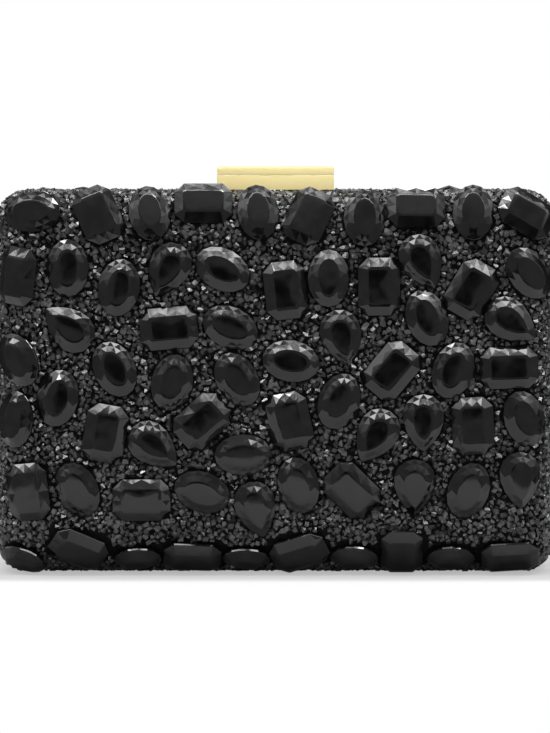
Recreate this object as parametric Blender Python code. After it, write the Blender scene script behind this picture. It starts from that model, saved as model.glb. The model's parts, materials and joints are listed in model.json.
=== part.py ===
"""Evening clutch: a hard box clutch in two hinged halves.

Each half is a moulded shell with a fine granule cover outside, a satin lining
inside and a gold-tone frame round its mouth. Large faceted stones are seated
on the covers. The halves turn on two barrel hinges at the base and are held
by a sprung lever clasp on top. Metres, +Z up, front towards -Y, base at z = 0.
"""

import math

import bmesh
import bpy
from mathutils import Matrix, Vector
from mathutils.bvhtree import BVHTree

MM = 0.001

# Body
BODY_WIDTH = 174 * MM
BODY_HEIGHT = 119 * MM
WALL_RUN = 7.5 * MM
EDGE_DEPTH = 18 * MM
SIDE_EDGE_RUN = 10 * MM
TOP_EDGE_RUN = 11 * MM
BASE_EDGE_RUN = 19 * MM
FACE_DOME = 1.5 * MM
CORNER_RADIUS = 9 * MM
CORNER_SPREAD = 7 * MM

# Layers of each half, from the outside in
GAP = 0.3 * MM
COVER_THICKNESS = 1.2 * MM
SHELL_THICKNESS = 1.6 * MM
LINING_THICKNESS = 0.8 * MM

# Frame round each mouth
PARTING_GAP = 0.15 * MM
FRAME_THICKNESS = 1.35 * MM
FRAME_RECESS = 0.5 * MM
FLANGE_THICKNESS = 0.8 * MM
FLANGE_DEPTH = 4 * MM

# Stones: how many lengths of a large stone the body is wide and high, and a stone's
# other sizes as shares of that length
STONE_COLUMNS = 9.88
STONE_ROWS = 6.76
STONE_LENGTH = min(BODY_WIDTH / STONE_COLUMNS, BODY_HEIGHT / STONE_ROWS)
STONE_WIDTH_SHARE = 0.7215
SMALL_LENGTH_SHARE = 0.852
SMALL_WIDTH_SHARE = 0.6475
OCTAGON_CORNER_SHARE = 0.165
OCTAGON_TABLE_CORNER_SHARE = 0.045
OCTAGON_RUN_SHARE = 0.156
GIRDLE_HEIGHT_SHARE = 0.057
CROWN_HEIGHT_SHARE = 0.114
CROWN_RUN_SHARE = 0.172
STONE_SINK = 0.4 * MM
SEAT_REACH = 2.5 * MM
FRONT_TOP_LEAN_SHARE = 0.5
BASE_LEAN_SHARE = 1.35

# Hinges at the base
HINGE_SPACING = 92 * MM
HINGE_LENGTH = 24 * MM
MIDDLE_KNUCKLE = 8 * MM
BARREL_RADIUS = 1.3 * MM
HINGE_PIN_RADIUS = 0.6 * MM
PIN_CLEARANCE = 0.25 * MM
LEAF_THICKNESS = 0.6 * MM
LEAF_REACH = 8 * MM
HINGE_RIVET_RADIUS = 0.8 * MM
HINGE_RIVET_SPACING = 14 * MM
HINGE_RIVET_DEPTH = 5 * MM

# Clasp on top
CLASP_WIDTH = 36.5 * MM
CATCH_REACH = 6 * MM
CATCH_WALL = 0.8 * MM
CATCH_HEIGHT = 4.6 * MM
PLATE_THICKNESS = 1 * MM
LEVER_THICKNESS = 2.3 * MM
LEVER_TAIL = 10.9 * MM
EAR_THICKNESS = 1.2 * MM
EAR_MARGIN = 1 * MM
LEVER_EAR_RADIUS = 1.2 * MM
BRACKET_EAR_RADIUS = 1.5 * MM
BRACKET_WIDTH = 29.4 * MM
BRACKET_REACH = 9.5 * MM
CLASP_AXIS_DEPTH = 5.5 * MM
CLASP_AXIS_RISE = 1.5 * MM
CLASP_PIN_RADIUS = 0.55 * MM
TOOTH_WIDTH = 10 * MM
TOOTH_THICKNESS = 1 * MM
TOOTH_HEIGHT = 2.4 * MM
TOOTH_DEPTH = 2.4 * MM
SPRING_WIDTH = 8 * MM
SPRING_THICKNESS = 0.3 * MM
CATCH_SPRING_DEPTH = 0.9 * MM
CATCH_SPRING_REACH = 4.4 * MM
CATCH_SPRING_HEIGHT = 2.1 * MM
CATCH_SPRING_NOSE = 0.7 * MM
CLASP_SPRING_LEG = 1.8 * MM
CLASP_RIVET_MARGIN = 1.25 * MM
CLASP_RIVET_DEPTH = 3.6 * MM
CLASP_RIVET_RADIUS = 0.8 * MM
RIVET_HEAD_RADIUS = 1.25 * MM
RIVET_HEAD_HEIGHT = 0.5 * MM

# Slip pocket on the rear lining
POCKET_WIDTH = 110 * MM
POCKET_HEIGHT = 50 * MM
POCKET_RISE = 22 * MM
POCKET_FRONT_DEPTH = 17.8 * MM
POCKET_BACK_DEPTH = 21.4 * MM
POCKET_SHEET = 0.7 * MM

# One overrun serves every cut
OVERRUN = 2 * MM

# Steps of the curved forms
CORNER_STEPS = 4
EDGE_STEPS = 4
DOME_STEPS = 1
STONE_STEPS = 10
BARREL_STEPS = 9
RIVET_SIDES = 7
PIN_SIDES = 8
EAR_STEPS = 6
SMOOTH_ANGLE = math.radians(35)

# Derived sizes and places
STONE_WIDTH = STONE_LENGTH * STONE_WIDTH_SHARE
SMALL_STONE_LENGTH = STONE_LENGTH * SMALL_LENGTH_SHARE
SMALL_STONE_WIDTH = STONE_LENGTH * SMALL_WIDTH_SHARE
OCTAGON_CORNER = STONE_LENGTH * OCTAGON_CORNER_SHARE
OCTAGON_TABLE_CORNER = STONE_LENGTH * OCTAGON_TABLE_CORNER_SHARE
OCTAGON_RUN = STONE_LENGTH * OCTAGON_RUN_SHARE
GIRDLE_HEIGHT = STONE_LENGTH * GIRDLE_HEIGHT_SHARE
CROWN_HEIGHT = STONE_LENGTH * CROWN_HEIGHT_SHARE
CROWN_RUN = STONE_LENGTH * CROWN_RUN_SHARE
SHELL_INSET = COVER_THICKNESS + GAP
LINING_INSET = SHELL_INSET + SHELL_THICKNESS + GAP
MOUTH_INSET = LINING_INSET + LINING_THICKNESS
FLANGE_INSET = MOUTH_INSET + GAP
FRAME_INSET = FLANGE_INSET + FLANGE_THICKNESS
FRAME_DEPTH = PARTING_GAP + FRAME_THICKNESS
LAYER_START = FRAME_DEPTH + GAP
HINGE_HEIGHT = SHELL_INSET + LEAF_THICKNESS / 2
COVER_START = HINGE_HEIGHT + GAP
HALF_DEPTH = WALL_RUN + EDGE_DEPTH + FACE_DOME
PLATE_BASE = BODY_HEIGHT + GAP
PLATE_TOP = PLATE_BASE + PLATE_THICKNESS
CATCH_TOP = BODY_HEIGHT + CATCH_HEIGHT
LEVER_BASE = CATCH_TOP + GAP
LEVER_TOP = LEVER_BASE + LEVER_THICKNESS
CLASP_AXIS_HEIGHT = PLATE_TOP + CLASP_AXIS_RISE
BRACKET_EAR_CENTRE = BRACKET_WIDTH / 2 - EAR_MARGIN - EAR_THICKNESS / 2
LEVER_EAR_CENTRE = BRACKET_EAR_CENTRE - EAR_THICKNESS - GAP
CLASP_RIVET_CENTRE = LEVER_EAR_CENTRE - EAR_THICKNESS / 2 - CLASP_RIVET_MARGIN - RIVET_HEAD_RADIUS

FRONT = -1
REAR = 1

# Each stone: share across from the middle, share up the body, turn in degrees
# clockwise of its long axis from upright, as seen from outside.
OCTAGON_PLACE_SHARES = (
    (-0.629, 0.944, -24), (-0.256, 0.968, 90), (0.116, 0.939, 25), (0.499, 0.959, 90),
    (0.889, 0.944, -58), (-0.916, 0.783, 8), (0.035, 0.747, -6), (0.367, 0.757, 0),
    (0.695, 0.749, 30), (-0.378, 0.648, 85), (0.413, 0.539, 40), (0.831, 0.545, 88),
    (-0.606, 0.375, 10), (-0.261, 0.407, 48), (0.051, 0.407, -12), (0.702, 0.394, -3),
    (-0.881, 0.221, -6), (-0.477, 0.200, 90), (0.271, 0.226, -45), (-0.704, 0.076, -62),
    (-0.297, 0.052, -87), (0.086, 0.066, 68), (0.451, 0.070, 0), (0.839, 0.053, 85),
)
OVAL_PLACE_SHARES = (
    (-0.864, 0.949, 90), (-0.447, 0.947, -8), (-0.062, 0.949, -5), (0.315, 0.934, 0),
    (0.702, 0.949, 0), (-0.737, 0.805, 0), (-0.555, 0.754, 10), (-0.188, 0.801, -62),
    (0.188, 0.778, 0), (0.902, 0.791, -40), (-0.161, 0.651, -65), (0.537, 0.675, -20),
    (-0.916, 0.565, -35), (-0.572, 0.542, -25), (-0.367, 0.508, 12), (-0.136, 0.516, -30),
    (0.055, 0.563, -80), (0.631, 0.539, 20), (-0.927, 0.410, 5), (-0.774, 0.466, 12),
    (-0.115, 0.319, 90), (0.225, 0.459, 20), (0.886, 0.413, -20), (-0.704, 0.228, -25),
    (-0.261, 0.222, -70), (0.082, 0.239, -12), (0.686, 0.226, 20),
)
SMALL_OVAL_PLACE_SHARES = (
    (-0.910, 0.046, -75), (-0.492, 0.046, 90), (-0.103, 0.047, -82), (0.282, 0.050, 90),
    (0.627, 0.048, 90),
)
PEAR_PLACE_SHARES = (
    (-0.381, 0.799, 205), (0.521, 0.820, 155), (-0.736, 0.651, -50), (0.236, 0.623, 165),
    (0.839, 0.665, 125), (-0.431, 0.341, 130), (0.356, 0.368, 210), (0.526, 0.402, 180),
    (-0.069, 0.175, 165), (0.494, 0.234, 180), (0.870, 0.252, 177),
)


def clear_scene():
    """Remove every object of the open scene."""
    for obj in list(bpy.data.objects):
        bpy.data.objects.remove(obj, do_unlink=True)


def make_material(name, colour, roughness, metallic=0.0):
    """A plain surface of one colour."""
    material = bpy.data.materials.new(name)
    material.use_nodes = True
    shader = material.node_tree.nodes["Principled BSDF"]
    shader.inputs["Base Color"].default_value = (*colour, 1)
    shader.inputs["Roughness"].default_value = roughness
    shader.inputs["Metallic"].default_value = metallic
    material.diffuse_color = (*colour, 1)
    return material


def make_pivot(name, place):
    """An empty on a joint's axis, which carries the pieces that turn there."""
    pivot = bpy.data.objects.new(name, None)
    pivot.location = place
    bpy.context.collection.objects.link(pivot)
    return pivot


def add_object(name, bm, material=None, pivot=None):
    """Turn a bmesh drawn in world coordinates into an object, under its pivot if it moves."""
    bmesh.ops.recalc_face_normals(bm, faces=bm.faces)
    mesh = bpy.data.meshes.new(name)
    bm.to_mesh(mesh)
    bm.free()
    mesh.shade_smooth()
    mesh.set_sharp_from_angle(angle=SMOOTH_ANGLE)
    obj = bpy.data.objects.new(name, mesh)
    bpy.context.collection.objects.link(obj)
    if material:
        mesh.materials.append(material)
    if pivot:
        obj.parent = pivot
        obj.location = -pivot.location
    return obj


def apply_tool(target, bm, operation):
    """Cut a hidden tool out of the target, or join it on."""
    tool = add_object(f"{target.name}_{operation.lower()}_{len(target.modifiers)}", bm)
    tool.hide_render = True
    tool.display_type = "WIRE"
    boolean = target.modifiers.new(operation.lower(), "BOOLEAN")
    boolean.operation = operation
    boolean.solver = "EXACT"
    boolean.object = tool


def add_box(bm, low, high):
    """A box between two opposite corners."""
    low, high = Vector(low), Vector(high)
    matrix = Matrix.LocRotScale((low + high) / 2, None, high - low)
    bmesh.ops.create_cube(bm, size=1, matrix=matrix)


def add_rod(bm, start, end, radius, sides):
    """A closed round rod between two points."""
    start, end = Vector(start), Vector(end)
    turn = (end - start).to_track_quat("Z", "Y")
    bmesh.ops.create_cone(
        bm, cap_ends=True, segments=sides, radius1=radius, radius2=radius,
        depth=(end - start).length, matrix=Matrix.LocRotScale((start + end) / 2, turn, None))


def add_loops(bm, loops, closed=False):
    """Join a row of equal loops of points with bands of faces."""
    rows = [[bm.verts.new(point) for point in loop] for loop in loops]
    pairs = list(zip(rows, rows[1:]))
    if closed:
        pairs.append((rows[-1], rows[0]))
    for first, second in pairs:
        for i in range(len(first)):
            j = (i + 1) % len(first)
            bm.faces.new((first[i], first[j], second[j], second[i]))
    if not closed:
        bm.faces.new(rows[0])
        bm.faces.new(rows[-1])


def add_prism(bm, profile, start, end):
    """Extrude a profile of (y, z) points along X."""
    add_loops(bm, [[Vector((x, y, z)) for y, z in profile] for x in (start, end)])


def arc(centre, radius, first, last, steps):
    """Points (y, z) on an arc, from the first angle to the last, in degrees."""
    angles = [math.radians(first + (last - first) * i / steps) for i in range(steps + 1)]
    return [(centre[0] + radius * math.cos(a), centre[1] + radius * math.sin(a)) for a in angles]


def outline(side, depth, half_width, top, base, radius):
    """A rectangle with round corners, standing at a depth from the parting plane."""
    corners = (
        (half_width - radius, top - radius, 0), (radius - half_width, top - radius, 90),
        (radius - half_width, base + radius, 180), (half_width - radius, base + radius, 270))
    points = []
    for across, up, first in corners:
        for i in range(CORNER_STEPS + 1):
            angle = math.radians(first + 90 * i / CORNER_STEPS)
            points.append(Vector((
                across + radius * math.cos(angle), side * depth, up + radius * math.sin(angle))))
    return points


def form_loops(side, inset, start):
    """Loops over the pillow form of one half, a given inset beneath its outer surface."""
    loops = [outline(side, start, BODY_WIDTH / 2 - inset, BODY_HEIGHT - inset, inset,
                     CORNER_RADIUS - inset)]
    for i in range(EDGE_STEPS + 1):
        angle = math.pi / 2 * i / EDGE_STEPS
        share = 1 - math.cos(angle)
        half_width = BODY_WIDTH / 2 - inset - (SIDE_EDGE_RUN - inset) * share
        top = BODY_HEIGHT - inset - (TOP_EDGE_RUN - inset) * share
        base = inset + (BASE_EDGE_RUN - inset) * share
        radius = CORNER_RADIUS - inset + CORNER_SPREAD * share
        depth = WALL_RUN + (EDGE_DEPTH - inset) * math.sin(angle)
        loops.append(outline(side, depth, half_width, top, base, radius))
    middle, half_height = (top + base) / 2, (top - base) / 2
    last_share = 1 / (DOME_STEPS + 1)
    for i in range(1, DOME_STEPS + 1):
        share = 1 - i / (DOME_STEPS + 1)
        rise = FACE_DOME * (1 - share ** 2) / (1 - last_share ** 2)
        loops.append(outline(side, depth + rise, half_width * share, middle + half_height * share,
                             middle - half_height * share, radius * share))
    return loops


def make_layer(name, side, inset, thickness, start, material, pivot):
    """One shell-like layer of a half: outer form, rim and inner form."""
    bm = bmesh.new()
    outer = form_loops(side, inset, start)
    inner = form_loops(side, inset + thickness, start)
    add_loops(bm, outer[::-1] + inner)
    return add_object(name, bm, material, pivot)


def make_frame(name, side, material, pivot):
    """The metal frame: a flat rim round the mouth with a flange over the lining's edge."""
    def loop(inset, base, depth):
        return outline(side, depth, BODY_WIDTH / 2 - inset, BODY_HEIGHT - inset, base,
                       CORNER_RADIUS - inset)

    flange_end = FRAME_DEPTH + FLANGE_DEPTH
    bm = bmesh.new()
    add_loops(bm, [
        loop(FRAME_RECESS, HINGE_HEIGHT, PARTING_GAP), loop(FRAME_RECESS, HINGE_HEIGHT, FRAME_DEPTH),
        loop(FLANGE_INSET, FLANGE_INSET, FRAME_DEPTH), loop(FLANGE_INSET, FLANGE_INSET, flange_end),
        loop(FRAME_INSET, FRAME_INSET, flange_end), loop(FRAME_INSET, FRAME_INSET, PARTING_GAP),
    ], closed=True)
    frame = add_object(name, bm, material, pivot)
    bm = bmesh.new()
    for centre in hinge_centres():
        reach = HINGE_LENGTH / 2 + GAP
        depths = sorted((-side * OVERRUN, side * (FRAME_DEPTH + GAP)))
        add_box(bm, (centre - reach, depths[0], -OVERRUN),
                (centre + reach, depths[1], HINGE_HEIGHT + BARREL_RADIUS + GAP))
    apply_tool(frame, bm, "DIFFERENCE")
    return frame


def hinge_centres():
    """Places of the two hinges along X."""
    return -HINGE_SPACING / 2, HINGE_SPACING / 2


def hinge_rivet_places():
    """Places of the hinge rivets along X."""
    return [centre + offset for centre in hinge_centres()
            for offset in (-HINGE_RIVET_SPACING / 2, HINGE_RIVET_SPACING / 2)]


def clasp_rivet_places():
    """Places of the clasp rivets along X."""
    return -CLASP_RIVET_CENTRE, CLASP_RIVET_CENTRE


def add_upright_rods(bm, places, y, low, high, radius):
    """A row of upright rods, the tools for rivet holes."""
    for x in places:
        add_rod(bm, (x, y, low), (x, y, high), radius, RIVET_SIDES)


def cut_hinge_seats(shell, side):
    """Recess the shell's base for the hinge leaves and drill it for their rivets."""
    bm = bmesh.new()
    reach = HINGE_LENGTH / 2 + GAP
    depths = sorted((0, side * (LEAF_REACH + GAP)))
    for centre in hinge_centres():
        add_box(bm, (centre - reach, depths[0], -OVERRUN),
                (centre + reach, depths[1], SHELL_INSET + LEAF_THICKNESS + GAP))
    apply_tool(shell, bm, "DIFFERENCE")
    bm = bmesh.new()
    add_upright_rods(bm, hinge_rivet_places(), side * HINGE_RIVET_DEPTH, SHELL_INSET,
                     LINING_INSET + GAP, HINGE_RIVET_RADIUS + GAP)
    apply_tool(shell, bm, "DIFFERENCE")


def cut_clasp_holes(piece, side, low, high):
    """Drill a piece at the top for the clasp's rivets."""
    bm = bmesh.new()
    add_upright_rods(bm, clasp_rivet_places(), side * CLASP_RIVET_DEPTH, low, high,
                     CLASP_RIVET_RADIUS + GAP)
    apply_tool(piece, bm, "DIFFERENCE")


def octagon_outline(length, width, corner):
    """A rectangle with cut corners, centred on the origin."""
    x, y = width / 2, length / 2
    return [(x, corner - y), (x, y - corner), (x - corner, y), (corner - x, y),
            (-x, y - corner), (-x, corner - y), (corner - x, -y), (x - corner, -y)]


def oval_outline(length, width, turned=False):
    """An ellipse; turned by half a step for the table, so that the crown has kite facets."""
    offset = 0.5 if turned else 0
    angles = [math.tau * (i + offset) / STONE_STEPS for i in range(STONE_STEPS)]
    return [(width / 2 * math.cos(a), length / 2 * math.sin(a)) for a in angles]


def pear_outline(length, width, turned=False):
    """A drop with its tip at the upper end of the long axis."""
    offset = 0.5 if turned else 0
    angles = [math.tau * (i + offset) / STONE_STEPS for i in range(STONE_STEPS)]
    drop = [(-math.sin(a) * abs(math.sin(a / 2)), math.cos(a)) for a in angles]
    widest = max(math.sin(a) * math.sin(a / 2) for a in (math.radians(d) for d in range(180)))
    return [(x / widest * width / 2, y * length / 2) for x, y in drop]


def add_stone(bm, matrix, girdle, table, kites):
    """A flat-backed faceted stone: back, girdle band, crown facets and table."""
    crown_top = GIRDLE_HEIGHT + CROWN_HEIGHT
    back = [bm.verts.new(matrix @ Vector((x, y, 0))) for x, y in girdle]
    rim = [bm.verts.new(matrix @ Vector((x, y, GIRDLE_HEIGHT))) for x, y in girdle]
    top = [bm.verts.new(matrix @ Vector((x, y, crown_top))) for x, y in table]
    for i in range(len(girdle)):
        j = (i + 1) % len(girdle)
        bm.faces.new((back[i], back[j], rim[j], rim[i]))
        if kites:
            bm.faces.new((rim[i], rim[j], top[i]))
            bm.faces.new((rim[j], top[j], top[i]))
        else:
            bm.faces.new((rim[i], rim[j], top[j], top[i]))
    bm.faces.new(back[::-1])
    bm.faces.new(top)


def seat_matrix(tree, points, side, across, up, turn):
    """Frame of a stone seated on the cover: its back is sunk in the highest point beneath it.

    It leans more than the base edge behind it, and on the front less than the top edge, above
    which its end stands up.
    """
    def surface(x, z):
        return tree.ray_cast(Vector((x, side * HALF_DEPTH * 2, z)), Vector((0, -side, 0)))[0]

    def slope(x, z):
        right = surface(x + SEAT_REACH, z) - surface(x - SEAT_REACH, z)
        rise = surface(x, z + SEAT_REACH) - surface(x, z - SEAT_REACH)
        normal = right.cross(rise).normalized()
        return normal if normal.y * side > 0 else -normal

    x = -side * across * BODY_WIDTH / 2
    z = up * BODY_HEIGHT
    normal = slope(x, z)
    lean = math.asin(normal.z)
    if lean < 0:
        lean *= BASE_LEAN_SHARE
    elif side == FRONT:
        lean *= FRONT_TOP_LEAN_SHARE
    level = Vector((normal.x, normal.y, 0)).normalized()
    normal = level * math.cos(lean) + Vector((0, 0, math.sin(lean)))
    foot = surface(x - normal.x * GIRDLE_HEIGHT, z - normal.z * GIRDLE_HEIGHT)
    height = max(point.dot(normal) for point in points) - STONE_SINK
    origin = foot + normal * (height - foot.dot(normal))
    upright = (Vector((0, 0, 1)) - normal * normal.z).normalized()
    right = upright.cross(normal)
    angle = math.radians(turn)
    long_axis = upright * math.cos(angle) + right * math.sin(angle)
    short_axis = long_axis.cross(normal)
    axes = Matrix((short_axis, long_axis, normal)).transposed()
    return Matrix.Translation(origin) @ axes.to_4x4()


def set_stones(side, cover):
    """Seat the stones on one half's cover and fuse them with it."""
    mesh = cover.data
    points = [vertex.co.copy() for vertex in mesh.vertices]
    tree = BVHTree.FromPolygons(points, [tuple(face.vertices) for face in mesh.polygons])
    table_length, table_width = STONE_LENGTH - 2 * CROWN_RUN, STONE_WIDTH - 2 * CROWN_RUN
    octagon = (octagon_outline(STONE_LENGTH, STONE_WIDTH, OCTAGON_CORNER),
               octagon_outline(STONE_LENGTH - 2 * OCTAGON_RUN, STONE_WIDTH - 2 * OCTAGON_RUN,
                               OCTAGON_TABLE_CORNER))
    oval = (oval_outline(STONE_LENGTH, STONE_WIDTH),
            oval_outline(table_length, table_width, turned=True))
    small_oval = (oval_outline(SMALL_STONE_LENGTH, SMALL_STONE_WIDTH),
                  oval_outline(SMALL_STONE_LENGTH - 2 * CROWN_RUN, SMALL_STONE_WIDTH - 2 * CROWN_RUN,
                               turned=True))
    pear = (pear_outline(STONE_LENGTH, STONE_WIDTH), pear_outline(table_length, table_width, turned=True))
    bm = bmesh.new()
    for place_shares, (girdle, table), kites in (
            (OCTAGON_PLACE_SHARES, octagon, False), (OVAL_PLACE_SHARES, oval, True),
            (SMALL_OVAL_PLACE_SHARES, small_oval, True), (PEAR_PLACE_SHARES, pear, True)):
        for across, up, turn in place_shares:
            matrix = seat_matrix(tree, points, side, across, up, turn)
            add_stone(bm, matrix, girdle, table, kites)
    apply_tool(cover, bm, "UNION")


def make_half(side, pivot, materials):
    """Jewelled cover, shell, lining and frame of one half."""
    half = "front" if side == FRONT else "rear"
    cover = make_layer(f"{half}_cover", side, 0, COVER_THICKNESS, COVER_START,
                       materials["granules"], pivot)
    set_stones(side, cover)
    shell = make_layer(f"{half}_shell", side, SHELL_INSET, SHELL_THICKNESS, LAYER_START,
                       materials["shell"], pivot)
    make_layer(f"{half}_lining", side, LINING_INSET, LINING_THICKNESS, LAYER_START,
               materials["satin"], pivot)
    make_frame(f"{half}_frame", side, materials["gold"], pivot)
    cut_hinge_seats(shell, side)
    for piece in (cover, shell):
        cut_clasp_holes(piece, side, BODY_HEIGHT - LINING_INSET, BODY_HEIGHT + OVERRUN)


def make_leaf(name, side, centre, knuckles, material, pivot):
    """One hinge leaf: a plate, its knuckles round the pin and its rivet holes."""
    base, top = SHELL_INSET, SHELL_INSET + LEAF_THICKNESS
    leaf_start = BARREL_RADIUS + GAP
    start, end = centre - HINGE_LENGTH / 2, centre + HINGE_LENGTH / 2
    depths = sorted((side * leaf_start, side * LEAF_REACH))
    bm = bmesh.new()
    add_box(bm, (start, depths[0], base), (end, depths[1], top))
    leaf = add_object(name, bm, material, pivot)
    half_angle = math.degrees(math.asin(LEAF_THICKNESS / 2 / BARREL_RADIUS))
    barrel = arc((0, HINGE_HEIGHT), BARREL_RADIUS, half_angle, 360 - half_angle, BARREL_STEPS)
    tab_end = leaf_start + LEAF_THICKNESS
    profile = [(side * y, z) for y, z in barrel + [(tab_end, base), (tab_end, top)]]
    bm = bmesh.new()
    for low, high in knuckles:
        add_prism(bm, profile, centre + low, centre + high)
    apply_tool(leaf, bm, "UNION")
    bm = bmesh.new()
    add_rod(bm, (start - OVERRUN, 0, HINGE_HEIGHT), (end + OVERRUN, 0, HINGE_HEIGHT),
            HINGE_PIN_RADIUS + PIN_CLEARANCE, PIN_SIDES)
    holes = [x for x in hinge_rivet_places() if start < x < end]
    add_upright_rods(bm, holes, side * HINGE_RIVET_DEPTH, -OVERRUN, top + OVERRUN,
                     HINGE_RIVET_RADIUS + GAP)
    apply_tool(leaf, bm, "DIFFERENCE")


def make_hinges(pivot, materials):
    """Two barrel hinges: the front leaf has one knuckle between the rear leaf's two."""
    inner, outer = MIDDLE_KNUCKLE / 2, HINGE_LENGTH / 2
    for hand, centre in zip(("left", "right"), hinge_centres()):
        make_leaf(f"{hand}_front_hinge_leaf", FRONT, centre, ((-inner, inner),),
                  materials["gold"], pivot)
        make_leaf(f"{hand}_rear_hinge_leaf", REAR, centre,
                  ((-outer, -inner - GAP), (inner + GAP, outer)), materials["gold"], None)
        bm = bmesh.new()
        add_rod(bm, (centre - outer, 0, HINGE_HEIGHT), (centre + outer, 0, HINGE_HEIGHT),
                HINGE_PIN_RADIUS, PIN_SIDES)
        add_object(f"{hand}_hinge_pin", bm, materials["steel"])
    for side, half, carrier in ((FRONT, "front", pivot), (REAR, "rear", None)):
        for number, x in enumerate(hinge_rivet_places(), 1):
            bm = bmesh.new()
            y = side * HINGE_RIVET_DEPTH
            add_rod(bm, (x, y, SHELL_INSET), (x, y, SHELL_INSET + SHELL_THICKNESS),
                    HINGE_RIVET_RADIUS, RIVET_SIDES)
            add_object(f"{half}_hinge_rivet_{number}", bm, materials["gold"], carrier)


def make_clasp_rivets(name, side, material, pivot):
    """Headed rivets that hold the catch or the bracket down on the cover and shell."""
    y = side * CLASP_RIVET_DEPTH
    head = PLATE_TOP + GAP
    heights = (BODY_HEIGHT - SHELL_INSET - SHELL_THICKNESS, head, head, head + RIVET_HEAD_HEIGHT)
    radii = (CLASP_RIVET_RADIUS, CLASP_RIVET_RADIUS, RIVET_HEAD_RADIUS, RIVET_HEAD_RADIUS)
    angles = [math.tau * i / RIVET_SIDES for i in range(RIVET_SIDES)]
    for number, x in enumerate(clasp_rivet_places(), 1):
        bm = bmesh.new()
        add_loops(bm, [
            [Vector((x + radius * math.cos(a), y + radius * math.sin(a), height)) for a in angles]
            for height, radius in zip(heights, radii)])
        add_object(f"{name}_{number}", bm, material, pivot)


def make_catch(materials, pivot):
    """The catch on the front half: a foot plate with the gold front wall of the clasp."""
    back = -PARTING_GAP - GAP
    profile = [
        (-CATCH_REACH, PLATE_BASE), (back, PLATE_BASE), (back, PLATE_TOP),
        (CATCH_WALL - CATCH_REACH, PLATE_TOP), (CATCH_WALL - CATCH_REACH, CATCH_TOP),
        (-CATCH_REACH, CATCH_TOP)]
    bm = bmesh.new()
    add_prism(bm, profile, -CLASP_WIDTH / 2, CLASP_WIDTH / 2)
    catch = add_object("clasp_catch", bm, materials["gold"], pivot)
    cut_clasp_holes(catch, FRONT, BODY_HEIGHT, PLATE_TOP + OVERRUN)
    make_clasp_rivets("catch_rivet", FRONT, materials["gold"], pivot)


def make_catch_spring(materials, pivot):
    """The snap spring on the catch: its nose rides over the lever's tooth."""
    foot = PLATE_TOP + GAP
    top = foot + CATCH_SPRING_HEIGHT
    back = -CATCH_SPRING_DEPTH
    front = back - SPRING_THICKNESS
    nose = (foot + SPRING_THICKNESS + top) / 2
    profile = [
        (-CATCH_SPRING_REACH, foot), (back, foot), (back, top), (front, top),
        (front - CATCH_SPRING_NOSE, nose), (front, foot + SPRING_THICKNESS),
        (-CATCH_SPRING_REACH, foot + SPRING_THICKNESS)]
    bm = bmesh.new()
    add_prism(bm, profile, -SPRING_WIDTH / 2, SPRING_WIDTH / 2)
    add_object("catch_spring", bm, materials["steel"], pivot)


def make_lever(materials, pivot):
    """The lever: the upper gold bar, its tooth and two ears on the clasp pin."""
    bm = bmesh.new()
    add_box(bm, (-CLASP_WIDTH / 2, -CATCH_REACH, LEVER_BASE),
            (CLASP_WIDTH / 2, LEVER_TAIL, LEVER_TOP))
    lever = add_object("clasp_lever", bm, materials["gold"], pivot)
    bury = LEVER_BASE + LEVER_THICKNESS / 2
    ear = arc((CLASP_AXIS_DEPTH, CLASP_AXIS_HEIGHT), LEVER_EAR_RADIUS, 180, 360, EAR_STEPS)
    profile = [(ear[0][0], bury)] + ear + [(ear[-1][0], bury)]
    bm = bmesh.new()
    for inner, outer in ear_spans(LEVER_EAR_CENTRE):
        add_prism(bm, profile, inner, outer)
    add_box(bm, (-TOOTH_WIDTH / 2, -TOOTH_DEPTH - TOOTH_THICKNESS, LEVER_BASE - TOOTH_HEIGHT),
            (TOOTH_WIDTH / 2, -TOOTH_DEPTH, bury))
    apply_tool(lever, bm, "UNION")
    cut_clasp_bore(lever)


def ear_spans(centre):
    """Spans along X of a pair of ears, given the middle of the right one."""
    half = EAR_THICKNESS / 2
    return (-centre - half, -centre + half), (centre - half, centre + half)


def cut_clasp_bore(piece):
    """Bore a piece for the clasp pin."""
    bm = bmesh.new()
    add_rod(bm, (-CLASP_WIDTH / 2, CLASP_AXIS_DEPTH, CLASP_AXIS_HEIGHT),
            (CLASP_WIDTH / 2, CLASP_AXIS_DEPTH, CLASP_AXIS_HEIGHT),
            CLASP_PIN_RADIUS + PIN_CLEARANCE, PIN_SIDES)
    apply_tool(piece, bm, "DIFFERENCE")


def make_bracket(materials):
    """The bracket on the rear half: a foot plate with two ears for the pin."""
    bm = bmesh.new()
    add_box(bm, (-BRACKET_WIDTH / 2, PARTING_GAP + GAP, PLATE_BASE),
            (BRACKET_WIDTH / 2, BRACKET_REACH, PLATE_TOP))
    bracket = add_object("clasp_bracket", bm, materials["gold"])
    bury = PLATE_BASE + PLATE_THICKNESS / 2
    ear = arc((CLASP_AXIS_DEPTH, CLASP_AXIS_HEIGHT), BRACKET_EAR_RADIUS, 0, 180, EAR_STEPS)
    profile = [(ear[0][0], bury)] + ear + [(ear[-1][0], bury)]
    bm = bmesh.new()
    for inner, outer in ear_spans(BRACKET_EAR_CENTRE):
        add_prism(bm, profile, inner, outer)
    apply_tool(bracket, bm, "UNION")
    cut_clasp_bore(bracket)
    cut_clasp_holes(bracket, REAR, BODY_HEIGHT, PLATE_TOP + OVERRUN)
    make_clasp_rivets("bracket_rivet", REAR, materials["gold"], None)


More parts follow.
